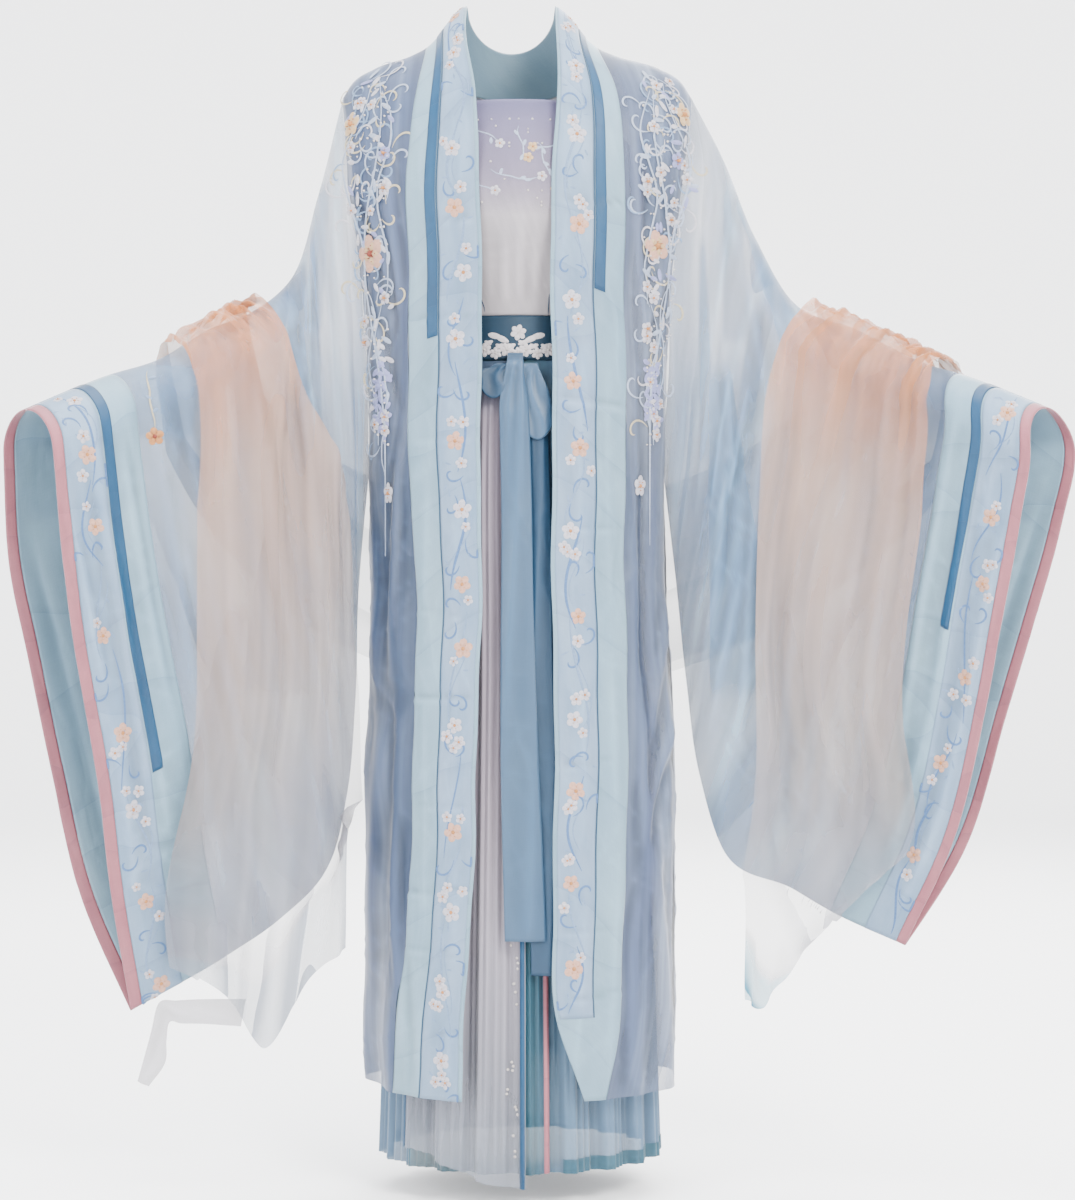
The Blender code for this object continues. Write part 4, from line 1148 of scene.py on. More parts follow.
def make_robe():
    neck = 0.5 - math.asin(COLLAR_SEAM_X / RIDGE_WIDE) / (math.pi - 2 * ARMHOLE_OPEN)
    back = robe_creased(back_points(np.linspace(0, 1, 132), ROBE_DOWN))
    dress("robe_back", back, "sheer_back", tone=ease((back[..., 2] + 0.22) / 0.05))
    for side, name in NAMES:
        front = robe_creased(front_points(side, np.linspace(0, 1, 44), ROBE_DOWN))
        x, z = seen_from_front(front)
        # A painted shadow down the front beside the lapel, stronger on the wearer's right, is set as the
        # tone; the wearer's left takes a copy of the sheer lightened with painted light
        low, strong, cloth = (-1.12, 0.85, "sheer") if side == RIGHT else (-0.88, 0.50, "sheer_painted_lighter")
        shadow = strong * ease((0.185 - np.abs(x)) / 0.05) * ease((-0.30 - z) / 0.25) * ease((z - low) / 0.2)
        dress("robe_front_" + name, front, cloth, tone=shadow)

        def lapel(ends, count, down, lift=0.0):
            """A strip of the lapel between two shares of its width."""
            points = lapel_points(side, np.linspace(*ends, count), down)
            return robe_creased(points, BAND_LOOSE, side, lift)

        dress("lapel_" + name, lapel((0, 1), 40, ROBE_DOWN), "pale", BAND_WALL)
        print_down, guard_down = (ROBE_DOWN[ROBE_DOWN <= end] for end in LAPEL_ENDS[side])
        print_strip("lapel", name, lapel(BAND_PRINT, 20, print_down, PRINT_LIFT), 40 + side)
        # A dark strip of painted shadow where the print laps over the pale band
        dress("lapel_shadow_line_" + name, lapel(BAND_LINE, 4, print_down, LINE_LIFT), "seam_shadow_and_cord", 0, None)
        dress("lapel_guard_" + name, lapel(BAND_GUARD, 8, guard_down, GUARD_LIFT), "teal", STRIP_WALL, "laid")
    across = np.linspace(neck, 1 - neck, 60)

    def collar(ends, count, lift):
        """A strip of the collar behind the neck."""
        return moved_out(collar_back_points(across, np.linspace(*ends, count)), lift)

    dress("collar_back", collar_back_points(across, np.linspace(0, 1, 30)), "pale", BAND_WALL)
    print_strip("collar", "back", collar(BAND_PRINT, 18, PRINT_LIFT), 47, True)
    dress("collar_guard_back", collar(BAND_GUARD, 6, GUARD_LIFT), "teal", STRIP_WALL, "laid")


def printed(laid, seed, sideways=False, pitch=0.105):
    """The strip's pattern: stems that wander along it, clusters of blossoms, buds and loose leaf strokes."""
    pick = np.random.default_rng(seed)
    points = laid.points if not sideways else laid.points.transpose(1, 0, 2)
    middle = points[:, points.shape[1] // 2]
    run = np.concatenate([[0], np.cumsum(np.linalg.norm(np.diff(middle, axis=0), axis=1))])
    columns = points.shape[1] - 1

    def grid_place(s, share):
        i, j = np.interp(s, run, np.arange(len(run))), np.clip(share, 0.03, 0.97) * columns
        return (j, i) if sideways else (i, j)

    def spot(s, share):
        i, j = grid_place(s, share)
        return float(i), float(j)

    s = 0.012
    while s < run[-1] - 0.05:
        long = min(pick.uniform(0.07, 0.17), run[-1] - s - 0.006)
        t = np.linspace(0, 1, 22)
        phase = pick.uniform(0, 6)
        share = 0.5 + 0.30 * np.sin(phase + pick.uniform(2.6, 4.6) * t) * (0.6 + 0.4 * t)
        stem = np.stack(grid_place(s + long * t, share), axis=-1)
        laid.ribbon(stem, pick.uniform(0.0018, 0.0034), "vine" if pick.random() < 0.6 else "pale_vine")
        if pick.random() < 0.7:
            stem = grid_place(s + long * (t * 0.6 + 0.2), share + 0.16 * np.sin(3 * t + 0.4))
            laid.ribbon(np.stack(stem, axis=-1), 0.0013, "pale_vine")
        s += long * pick.uniform(0.8, 1.2)
    s = pick.uniform(0.02, 0.06)
    while s < run[-1] - 0.012:
        share = pick.uniform(0.34, 0.66)
        petal = "peach" if pick.random() < 0.6 else "white"
        laid.blossom(*spot(s, share), pick.uniform(0.0095, 0.0122), pick.uniform(0, 6), petal, "gold")
        for _ in range(int(pick.integers(1, 4))):
            away = pick.choice((-1, 1)) * pick.uniform(0.012, 0.028)
            near = spot(s + away, share + pick.uniform(-0.3, 0.3))
            laid.blossom(*near, pick.uniform(0.0058, 0.0082), pick.uniform(0, 6), "white", "gold")
        for _ in range(3):
            near = spot(s + pick.uniform(-0.04, 0.04), pick.uniform(0.15, 0.85))
            turn = pick.uniform(0, 6.28)
            laid.petal(*near, turn, 0.0, pick.uniform(0.006, 0.011), 0.0012, "pale_vine", 0.0003)
        for _ in range(2):
            near = spot(s + pick.uniform(0.025, 0.06), pick.uniform(0.25, 0.75))
            turn, size = pick.uniform(0, 6.28), pick.uniform(0.020, 0.034)
            laid.curl(*near, 0, 0, turn, size, pick.choice((-1, 1)), 0.0025, "vine")
        s += pitch * pick.uniform(0.6, 1.15)


def make_sleeves():
    for side, name in NAMES:
        for layer, which in ((1, "front"), (-1, "back")):
            tag = f"{which}_{name}"
            sleeve = sleeve_creased(side, layer, np.linspace(0, CUFF_FROM, 110))
            x, z = seen_from_front(sleeve)
            table = DOUBLED[side]
            if layer < 0:
                table = [(a0 + 0.03, b0, a1 + 0.02, *rest) for a0, b0, a1, *rest in DOUBLED[-side]]
            double = np.maximum(doubled(side * x, z, table), 0.42 * ease((-0.30 - z) / 0.12))
            dress("sleeve_" + tag, sleeve, "sleeve", tone=double)

            def cuff(first, last, count, lift=0.0, down_to=2.0):
                """A strip of the cuff between two places along the sleeve."""
                return sleeve_creased(side, layer, np.linspace(first, last, count), lift, CUFF_LOOSE, down_to)

            dress("cuff_" + tag, cuff(CUFF_FROM, BINDING_FROM, 34), "pale", CLOTH_WALL)
            print_strip("cuff", tag, cuff(*CUFF_PRINT, 20, PRINT_LIFT), 60 + side * 2 + layer * 5)
            guard = cuff(*CUFF_GUARD, 8, GUARD_LIFT, CUFF_GUARD_ENDS[side])
            dress("cuff_guard_" + tag, guard, "teal", STRIP_WALL, "laid")
            dress("cuff_binding_" + tag, cuff(BINDING_FROM, 1.0, 7, BINDING_LIFT), "pink", BINDING_WALL)


def make_scarf():
    across = np.linspace(0, 1, 90)
    scarf = scarf_points(across, np.linspace(0, 1, 90))
    rows = len(scarf)
    run = np.concatenate([[0], np.cumsum(np.linalg.norm(np.diff(scarf[:, 45], axis=0), axis=1))])
    over = len(SCARF_END_ROWS) + len(SCARF_ROWS) - 1
    left, right = run[over], run[rows - 1 - over]
    from_arm = np.minimum(np.abs(run - left), np.abs(run - right))
    to_end = np.maximum(left - run, run - right)
    tone = np.where(to_end > 0, 0.10 + 0.90 * to_end / to_end.max(), 0.10 + 0.74 * ease(from_arm / 0.30))
    a, b = lengths(scarf)
    fold = 0.0030 * ripple(a, b * 0.05, 0.050, 30) + 0.0012 * ripple(a, b * 0.05, 0.020, 33)
    fold = fold + 0.0010 * crinkle(a, b * 0.3, 0.06, 31)
    spread = ease(from_arm / 0.10)[:, None]
    puffed = (0.0060 + 0.0060 * ripple(a, b, 0.042, 36) + 0.0030 * ripple(a, b, 0.018, 37)) * (1 - spread)
    scarf = moved_out(scarf, fold * (0.35 + 0.65 * spread) + puffed + 0.0058)
    dipped = ease((tone[:, None] - 0.84 - 0.12 * (1 - across[None, :])) / 0.02)
    tone = np.minimum(tone, 0.90)[:, None] + 0.12 * dipped * np.where(run < left, 1.0, 0.35)[:, None]
    dress("scarf", scarf, "scarf", 0, "draped", np.clip(tone, 0, 1))
    tail = np.array(SCARF_TAIL)
    key = np.linspace(0, 1, len(tail))
    fine = np.linspace(0, 1, 60)
    wide = np.linspace(0, 1, 14)[None, :, None]
    smooth = np.stack([column(np.column_stack([key, tail[:, k]]), 1, fine) for k in range(5)], axis=1)
    upper = smooth[:, None, [0, 4, 1]]
    lower = smooth[:, None, [2, 4, 3]]
    points = upper + (lower - upper) * wide
    points[..., 1] += 0.0016 * np.sin(9 * fine[:, None] + 5 * wide[..., 0]) * ease(fine[:, None] * 6)
    dress("scarf_tail", points, "scarf_end")


def make_bodice():
    for which, first, last, count in (("front", -0.5, 0.5, 90), ("back", 0.5, 1.5, 70)):
        angles = np.linspace(first * math.pi, last * math.pi, count)
        share, turn = grid(np.linspace(0, 1, 60), angles)
        top = BODICE_TOP_Z + BODICE_ARCH * ease((np.cos(turn) - 0.25) / 0.75)
        heights = mix(top, WAIST_TOP_Z, share)
        points = tube_points(BODICE, turn, heights)
        run = turn * 0.13
        out = 0.0010 * ripple(run, heights, 0.05, 51) + 0.0007 * crinkle(run, heights, 0.04, 52)
        pull = 0.0006 * np.exp(-(((share - 0.82) / 0.2) ** 2)) * np.sin(34 * turn + 3 * np.sin(5 * turn))
        points = moved_out(points, (out + pull) * ease(share * 12) * ease((1 - share) * 8))
        dress("bodice_" + which, points, "bodice", CLOTH_WALL, "stretched", share)
        if which == "front":
            laid = Laid(points, lift=0.0004)
            for x, out_to, z, low in ((-0.043, -0.036, -0.283, -0.309), (0.038, 0.034, -0.286, -0.311)):
                path = [laid.near(x + (out_to - x) * k, z + (low - z) * k) for k in np.linspace(0, 1, 9)]
                laid.ribbon(smoothed(path), 0.0013, "seam_shadow_and_cord")
            laid.make("bodice_cords", "slate_ribbon")
            upper = slice(0, 34), slice(14, -14)
            over = moved_out(points[upper], TRIM_LIFT)
            dress("bodice_overlay", over, "overlay", 0, "laid", share[upper] / share[33, 0])
            bodice_flowers(Laid(over, FLOWER_LIFT))


def bodice_flowers(laid):
    """Embroidered twigs with blossoms and pearls across the upper bodice."""
    pick = np.random.default_rng(71)
    for x0, z0, x1, z1, bow in (
        (-0.064, -0.100, -0.020, -0.118, 0.006),
        (-0.030, -0.150, 0.030, -0.158, -0.006),
        (0.062, -0.104, 0.022, -0.124, -0.007),
        (-0.060, -0.168, -0.024, -0.176, 0.005),
        (0.024, -0.118, 0.042, -0.172, 0.008),
        (0.000, -0.098, 0.012, -0.136, -0.005),
    ):
        path = []
        for k in np.linspace(0, 1, 16):
            x = x0 + (x1 - x0) * k + 0.3 * bow * math.sin(9 * k)
            path.append(laid.near(x, z0 + (z1 - z0) * k + bow * math.sin(3.1 * k)))
        laid.ribbon(smoothed(path), 0.0016, "silver")
        for k in (0.25, 0.55, 0.8):
            i, j = path[int(15 * k)]
            laid.petal(i, j, pick.uniform(0, 6.28), 0.001, 0.009, 0.0019, "silver", 0.0006)
        i, j = path[-1]
        laid.blossom(i, j, 0.0062, pick.uniform(0, 6), "white" if x0 < 0 else "cream_thread", "gold")
    for _ in range(46):
        i, j = laid.near(pick.uniform(-0.07, 0.07), pick.uniform(-0.19, -0.085))
        if laid.inside(i, j, 2):
            laid.disc(i, j, 0, 0, pick.uniform(0.0010, 0.0016), "pearl", 0.0016, 6)
    laid.make("bodice_embroidery", "mauve")


def smoothed(path):
    """Grid places of a stem, evened out because each was the nearest whole point."""
    path = np.asarray(path, float)
    for _ in range(3):
        path[1:-1] = 0.5 * path[1:-1] + 0.25 * (path[:-2] + path[2:])
    return path


def make_waist():
    for which, first in (("front", -0.5), ("back", 0.5)):
        angles = np.linspace(first * math.pi, (first + 1) * math.pi, 90)
        heights, turn = grid(np.linspace(WAIST_TOP_Z, WAIST_LOW_Z, 14), angles)
        points = tube_points(BODICE, turn, heights, WAIST_LIFT)
        uneven = 0.0006 * ripple(turn * 0.12, heights, 0.05, 61)
        points = moved_out(points, uneven * ease((heights - WAIST_LOW_Z) / 0.02))
        dress("waistband_" + which, points, "waist", WAIST_WALL, "stretched")
        if which == "front":
            lace_flowers(Laid(points, lift=0.0003))


def lace_flowers(laid):
    """Lace blossoms along the waistband's lower half, with leaves between them and one standing higher."""
    pick = np.random.default_rng(81)
    low = WAIST_LOW_Z + 0.008
    for k in range(-6, 7):
        x = 0.0122 * k
        i, j = laid.near(x, low + 0.0032 * (k % 2) + 0.001)
        laid.blossom(i, j, 0.0082 if k % 2 else 0.0070, pick.uniform(0, 6), "lace", "pearl", 6, 0.0016)
        i, j = laid.near(x + 0.006, low + 0.0105 + 0.003 * math.cos(2.1 * k))
        laid.petal(i, j, 0.4, -0.005, 0.006, 0.0024, "lace", 0.0010)
        laid.petal(i, j, 2.6, -0.004, 0.005, 0.0020, "lace", 0.0010)
    i, j = laid.near(0.0, low + 0.0235)
    laid.blossom(i, j, 0.0092, 0.3, "lace", "pearl", 6, 0.0018)
    for x, turn in ((-0.014, 2.7), (0.014, 0.4), (-0.024, 2.9), (0.024, 0.2)):
        i, j = laid.near(x, low + 0.0175)
        laid.petal(i, j, turn, -0.007, 0.009, 0.0034, "lace", 0.0012)
    made = laid.make("lace_flowers", "white_lace")
    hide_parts("lace_trim")


def make_tie():
    # The end behind takes a copy of the ribbon darkened with painted shade
    ends = (
        # name, cloth, left_top, right_top, left_low, right_low, top_z, low_z, out_edge, out_top, out_low
        ("front", "ribbon", -0.020, 0.012, -0.014, 0.032, -0.355, -1.021, 0.0062, 0.0185, 0.0205),
        ("behind", "shaded_ribbon", 0.010, 0.034, 0.016, 0.052, -0.368, -1.060, 0.0092, 0.0092, 0.0155),
    )
    rows = np.concatenate([np.linspace(0, 0.04, 16), np.linspace(0.04, 1, 150)[1:]])
    for name, cloth, left_top, right_top, left_low, right_low, top_z, low_z, edge, out_top, out_low in ends:
        share, across = grid(rows, np.linspace(0, 1, 18))
        x = mix(mix(left_top, left_low, share), mix(right_top, right_low, share), across)
        bend = 0.0012 * np.sin(across * math.pi) * ease(share * 6)
        out = mix(edge, mix(out_top, out_low, ease((share - 0.15) * 2.5)), ease(share / 0.018)) + bend
        gather = np.exp(-share * 9)
        fold = 0.0024 * ridges(across * 6.5 + 0.6 + 0.9 * np.sin(7 * share)) * gather
        fold = fold + 0.0015 * ridges(across * 3.4 + 4 * share + 0.4) * (1 - gather)
        fold = fold + 0.0012 * crinkle(x, share * 0.66, 0.07, 91)
        x = x + 0.0016 * np.sin(7 * share + across) * ease(share * 3)
        x = mix(0.002, x, 0.55 + 0.45 * ease(share / 0.10))
        points = on_skirt(x, mix(top_z, low_z, share), out + fold * ease(share * 20))
        dress("tie_end_" + name, points, cloth, CLOTH_WALL)
    # The wearer's right loop takes the ribbon's copy darkened with painted shade
    for name, cloth, side, tip_x, low_z in (
        ("bow_loop_right", "shaded_ribbon", RIGHT, 0.036, -0.405),
        ("bow_loop_left", "ribbon", LEFT, 0.034, -0.452),
    ):
        share, across = grid(np.linspace(0, 1, 70), np.linspace(0, 1, 14))
        turn = np.clip((share - 0.42) / 0.16, 0, 1) * math.pi
        fallen = np.clip(np.where(share < 0.5, share, 1 - share) / 0.42, 0, 1)
        height = mix(WAIST_LOW_Z - 0.005, low_z, fallen) - 0.003 * np.sin(turn)
        height = height + 0.016 * (2 * across - 1) ** 2 * ease(fallen * 1.4)
        out = 0.0157 - 0.0030 * (1 - np.cos(turn)) + 0.0010 * ease(fallen * 2)
        out = out + 0.0006 * np.sin(across * 9 + 1)
        x = side * mix(0.014, tip_x - 0.010, fallen**0.7)
        x = x + (across - 0.5) * 2 * mix(0.010, 0.018, ease(fallen * 1.3))
        fold = 0.0022 * ridges(across * 5.5 + 0.8 * np.sin(5 * fallen))
        out = out + fold * (1 - 0.6 * fallen) * ease(fallen * 6)
        dress(name, on_skirt(x, height, out), cloth, LOOP_WALL)


def on_skirt(x, height, out):
    """A point in front of the skirt."""
    return place(x, -column(SKIRT, 2, height) - out, height)


def skirt_fine(angles, heights, layer=0.0):
    """The skirt's pleats with a finer set pressed between them."""
    heights, angles = grid(heights, angles) if np.ndim(heights) == 1 else (heights, angles)
    pleats = column(SKIRT, 4, heights) * pleat(angles)
    narrow = np.arcsin(0.95 * np.sin(angles * PLEATS * 5 + 0.5 * np.sin(angles * 7)))
    pleats = pleats + FINE_PLEAT * narrow * ease((WAIST_LOW_Z - heights) / 0.12)
    points = tube_points(SKIRT, angles, heights, pleats + layer * column(SKIRT, 5, heights))
    points[..., 0] += SKIRT_ASIDE * ease((-0.45 - heights) / 0.3)
    return points


def make_skirt():
    band_z = SKIRT_HEM_Z + HEM_BAND
    heights = np.append(np.linspace(WAIST_LOW_Z, band_z, 60), np.linspace(band_z, SKIRT_HEM_Z, 5)[1:])
    half = np.linspace(-math.pi / 2, math.pi / 2, 601)
    for which, turned, first in (("front", 0, 360), ("back", math.pi, 0)):
        points = skirt_fine(half + turned, heights)
        dress("skirt_" + which, points, "skirt", 0, "gathered", shade_of(half + turned))
        trim = moved_out(points, TRIM_LIFT)
        dress("skirt_hem_" + which, trim[59:, first:], "hem", 0, "laid")
        if which == "front":
            dress("skirt_stripe", trim[8:, 334:342], "pink", 0, "laid")
    step = math.pi / 40
    share, turn = grid(np.linspace(0, 1, 70), np.linspace(-12 * step, step / 2, 190))
    low = mix(SKIRT_HEM_Z - 0.015, SKIRT_HEM_Z + 0.022, ease(-turn / math.radians(54)))
    over = skirt_fine(turn, mix(WAIST_LOW_Z - 0.001, low, share), 1.0)
    dress("overskirt", over, "mist", 0, "gathered", share)
    trim = moved_out(over, 0.0006)
    dress("overskirt_edge", trim[:, 182:189], "teal", 0, "laid")
    dress("overskirt_side_edge", trim[60:, 1:9], "teal", 0, "laid")
    laid = Laid(over, lift=0.0004)
    pick = np.random.default_rng(121)
    for row, column_at in ((48, 168), (53, 176), (58, 172), (62, 178), (66, 174), (50, 180), (60, 164)):
        for _ in range(3):
            i, j = row + pick.uniform(-1.5, 1.5), column_at + pick.uniform(-3, 3)
            laid.disc(i, j, 0, 0, 0.0018, "pearl", 0.0020, 8)
    laid.make("overskirt_pearls", "white_lace")


def shade_of(angles):
    """The skirt's tone: green-grey from the middle to the wearer's right, partly its teal and partly painted
    shade under the lapel and the overskirt, and blue further round.
    """
    front = 0.5 + 0.5 * np.tanh((np.sin(angles) - 0.16) * 6)
    return np.maximum(front, ease((-np.sin(angles) - 0.72) / 0.1))


def relief(sheets, out_from, out_to, low, top, cell=0.004):
    """The frontmost cloth of some sheets as one grid over width and height, with its gaps filled."""
    nothing = 9.0
    wide, tall = np.arange(out_from, out_to, cell), np.arange(top, low, -cell)
    near = np.full((len(tall), len(wide)), nothing)
    for points in sheets:
        flat = points.reshape(-1, 3)
        i = np.round((top - flat[:, 2]) / cell).astype(int)
        j = np.round((flat[:, 0] - out_from) / cell).astype(int)
        kept = (i >= 0) & (j >= 0) & (i < len(tall)) & (j < len(wide))
        np.minimum.at(near, (i[kept], j[kept]), flat[kept, 1])
    known = near < nothing
    depth, weight = np.where(known, near, 0.0), known.astype(float)
    for _ in range(12):
        spread, share = blurred(depth * weight, 1), blurred(weight, 1)
        fresh = ~known & (share > 0)
        depth[fresh] = spread[fresh] / share[fresh]
        weight[fresh] = 1.0
        known = known | fresh
    x, z = np.meshgrid(wide, tall)
    return np.stack([x, blurred(depth, 1), z], axis=-1)


# Larger blossoms down the front on each side, then its hanging spray and its lowest star
FRONT_FLOWERS = {
    RIGHT: (
        # out, height, radius, petals, centre
        (0.168, -0.238, 0.0225, "peach", "wine"),
        (0.190, -0.086, 0.0150, "cream_thread", "gold"),
        (0.152, -0.165, 0.0095, "white", "gold"),
        (0.150, -0.125, 0.0095, "lavender", "gold"),
        (0.176, -0.340, 0.0095, "white", "gold"),
        (0.152, -0.290, 0.0080, "white", "gold"),
    ),
    LEFT: (
        # out, height, radius, petals, centre
        (0.160, -0.230, 0.0185, "peach", "gold"),
        (0.194, -0.076, 0.0150, "cream_thread", "gold"),
        (0.150, -0.160, 0.0095, "white", "gold"),
        (0.186, -0.130, 0.0105, "lavender", "gold"),
        (0.150, -0.325, 0.0085, "white", "gold"),
        (0.176, -0.200, 0.0080, "white", "gold"),
    ),
}
FRONT_SPRAY = {RIGHT: (0.156, -0.370, -0.440), LEFT: (0.156, -0.365, -0.435)}
FRONT_STAR = {RIGHT: (0.146, -0.514), LEFT: (0.142, -0.508)}
FRONT_TWIGS_LOW = {RIGHT: -0.585, LEFT: -0.575}


def sewn_band(z):
    """Inner and outer edge of the front's sewn part at a height."""
    below = (0.02, 0.12, 0.26, 0.40, 0.60)
    inner = np.interp(-z, below, (0.148, 0.143, 0.146, 0.146, 0.146))
    return inner, np.interp(-z, below, (0.176, 0.202, 0.186, 0.168, 0.156))


def front_embroidery():
    """Curling twigs, blossoms and hanging sprays from each shoulder down the front."""
    for side, name in NAMES:
        front = robe_creased(front_points(side, np.linspace(0, 1, 90), ROBE_DOWN))
        sleeve = sleeve_creased(side, 1, np.linspace(0, 0.3, 60))
        ends = (-0.235, -0.105) if side == RIGHT else (0.105, 0.235)
        laid = Laid(relief((front, sleeve), *ends, -0.63, -0.006), lift=0.0010)
        pick = np.random.default_rng(101 + side)
        low = FRONT_TWIGS_LOW[side]
        for share, start, end, wave, wide in (
            (0.50, -0.03, low, 0.30, 0.0030),
            (0.85, -0.04, -0.34, 0.22, 0.0030),
            (0.15, -0.05, -0.30, 0.22, 0.0026),
            (0.30, -0.30, -0.50, 0.25, 0.0022),
            (0.75, -0.26, -0.46, 0.25, 0.0022),
        ):
            path = []
            for t in np.linspace(0, 1, 46):
                z = start + (end - start) * t
                inner, outer = sewn_band(z)
                sway = wave * math.sin(9.5 * t + share * 20) * (1 - 0.5 * t)
                path.append(laid.near(side * (inner + (outer - inner) * (share + sway)), z))
            laid.ribbon(smoothed(path), wide, "silver", 0.0008)
        for z in np.arange(-0.034, low + 0.13, -0.0105):
            inner, outer = sewn_band(z)
            for _ in range(5 if z > -0.20 else 3 if z > -0.34 else 2):
                i, j = laid.near(side * pick.uniform(inner, outer), z + pick.uniform(-0.005, 0.005))
                kind = pick.random()
                if kind < 0.58:
                    turn, size, hand = pick.uniform(0, 6.28), pick.uniform(0.022, 0.044), pick.choice((-1, 1))
                    thread = pick.choice(("silver", "white", "silver", "sand", "pale_vine"))
                    laid.curl(i, j, 0, 0, turn, size, hand, 0.0024, thread)
                elif kind < 0.90:
                    turn, far = pick.uniform(0, 6.28), pick.uniform(0.010, 0.017)
                    thread = pick.choice(("white", "lavender", "silver", "white"))
                    laid.petal(i, j, turn, 0, far, 0.0028, thread, 0.0012)
                else:
                    radius, turn = pick.uniform(0.0065, 0.0095), pick.uniform(0, 6)
                    laid.blossom(i, j, radius, turn, "white", "gold", 5, 0.0016)
        for out, z, radius, petal, centre in FRONT_FLOWERS[side]:
            i, j = laid.near(side * out, z)
            turn = pick.uniform(0, 6)
            laid.blossom(i, j, radius, turn, petal, centre, 5, 0.0026)
            if radius > 0.017:
                laid.blossom(i, j, radius * 0.62, turn + 0.6, "cream_thread", centre, 5, 0.0040)
            laid.disc(i, j, 0, 0, 0.24 * radius, centre, 0.0052)
        out, top, bottom = FRONT_SPRAY[side]
        for z in np.arange(top, bottom, -0.0080):
            for turn in (0.4, 2.7, 4.1, 5.3):
                i, j = laid.near(side * (out + pick.uniform(-0.005, 0.005)), z)
                laid.petal(i, j, turn + pick.uniform(-0.3, 0.3), 0.001, 0.0125, 0.0030, "lavender", 0.0014)
        out, z = FRONT_STAR[side]
        i, j = laid.near(side * out, z)
        laid.blossom(i, j, 0.0125, 0.3, "white", "gold", 5, 0.0018)
        for _ in range(90):
            z = pick.uniform(-0.46, -0.04)
            i, j = laid.near(side * pick.uniform(*sewn_band(z)), z)
            laid.disc(i, j, 0, 0, pick.uniform(0.0010, 0.0018), "pearl", 0.0020, 6)
        laid.make("front_embroidery_" + name, "white_lace")


def sleeve_flower():
    """A small flower that hangs on a pale cord from the wearer's right arm."""
    sleeve = sleeve_creased(RIGHT, 1, np.linspace(0.45, 0.9, 80), 0.0)
    laid = Laid(relief((sleeve,), -0.47, -0.36, -0.52, -0.36, 0.003), lift=0.0012)
    cord_x = (-0.4195, -0.417, -0.412, -0.4115, -0.408, -0.406)
    cord_z = (-0.378, -0.392, -0.404, -0.418, -0.432, -0.446)
    key = np.linspace(0, 1, len(cord_x))
    x, z = (np.interp(np.linspace(0, 1, 24), key, cord) for cord in (cord_x, cord_z))
    laid.ribbon(smoothed([laid.near(a, b) for a, b in zip(x, z)]), 0.0022, "sand", 0.0006)
    for a, b, turn in ((-0.4165, -0.386, 0.4), (-0.411, -0.410, 2.7), (-0.4095, -0.426, 0.6)):
        i, j = laid.near(a, b)
        laid.petal(i, j, turn, 0.0, 0.009, 0.0020, "pale_vine", 0.0008)
    i, j = laid.near(-0.406, -0.452)
    laid.blossom(i, j, 0.0105, 0.5, "gold", "wine", 5, 0.0020)
    laid.disc(i, j, 0, 0, 0.0028, "wine", 0.0032)
    laid.make("sleeve_flower", "white_lace")


def light(name, place_at, aim, size, power, colour=(1, 1, 1)):
    lamp = bpy.data.lights.new(name, "AREA")
    lamp.shape = "DISK"
    lamp.size = size
    lamp.energy = power
    lamp.color = colour
    made = added(name, lamp)
    made.location = place_at
    made.rotation_euler = (Vector(aim) - Vector(place_at)).to_track_quat("-Z", "Y").to_euler()
    made.visible_camera = False


def make_studio():
    """A pale round floor that turns up into a wall all round, soft lamps and the camera."""
    floor_z = -1.325
    sides = 72
    profile = [(2.0, 0.0), (4.0, 0.0)]
    for k in range(13):
        turn = math.pi / 2 * k / 12
        profile.append((5.2 + 1.6 * math.sin(turn), 1.6 - 1.6 * math.cos(turn)))
    profile.append((6.8, 7.5))
    turns = np.linspace(0, 2 * math.pi, sides, endpoint=False)
    points = [(r * math.cos(t), r * math.sin(t), floor_z + z) for r, z in profile for t in turns]
    faces = [tuple(range(sides))]
    for low in range(0, (len(profile) - 1) * sides, sides):
        for n in range(sides):
            after = (n + 1) % sides
            faces.append((low + after, low + n, low + sides + n, low + sides + after))
    mesh = bpy.data.meshes.new("floor")
    mesh.from_pydata(points, [], faces)
    mesh.shade_smooth()
    make = Nodes("pale_floor")
    pale = make.ramp(make.noise(3, 3), ((0.3, (0.93, 0.93, 0.94)), (0.7, (0.95, 0.95, 0.95))), False)
    mesh.materials.append(make.finish(pale, 0.9, 1.0, 0.0))
    added("floor", mesh)
    light("key", (1.7, -3.2, 1.7), (0, 0, -0.6), 1.6, 330, (1.0, 0.985, 0.96))
    light("fill", (-2.6, -2.6, 0.6), (0, 0, -0.6), 2.6, 110, (0.95, 0.975, 1.0))
    light("back", (0.8, 3.0, 1.6), (0, 0, -0.5), 2.4, 170)
    light("top", (0, 0, 5.2), (0, 0, 0), 6.0, 1150)
    world = bpy.data.worlds.new("studio")
    world.use_nodes = True
    world.node_tree.nodes["Background"].inputs["Color"].default_value = (0.93, 0.96, 1.0, 1)
    world.node_tree.nodes["Background"].inputs["Strength"].default_value = 1.15
    bpy.context.scene.world = world
    lens = bpy.data.cameras.new("camera")
    lens.lens = 76.3
    lens.sensor_width = 36
    camera = added("camera", lens)
    camera.location = (0.024, -3.0, -0.637)
    camera.rotation_euler = (math.pi / 2, 0, 0)
    bpy.context.scene.camera = camera


# The stops of the see-through cloths and of the graded ones
GREY_BLUE = ((0.34, (78, 90, 120)), (0.50, (106, 120, 148)), (0.66, (150, 164, 190)))
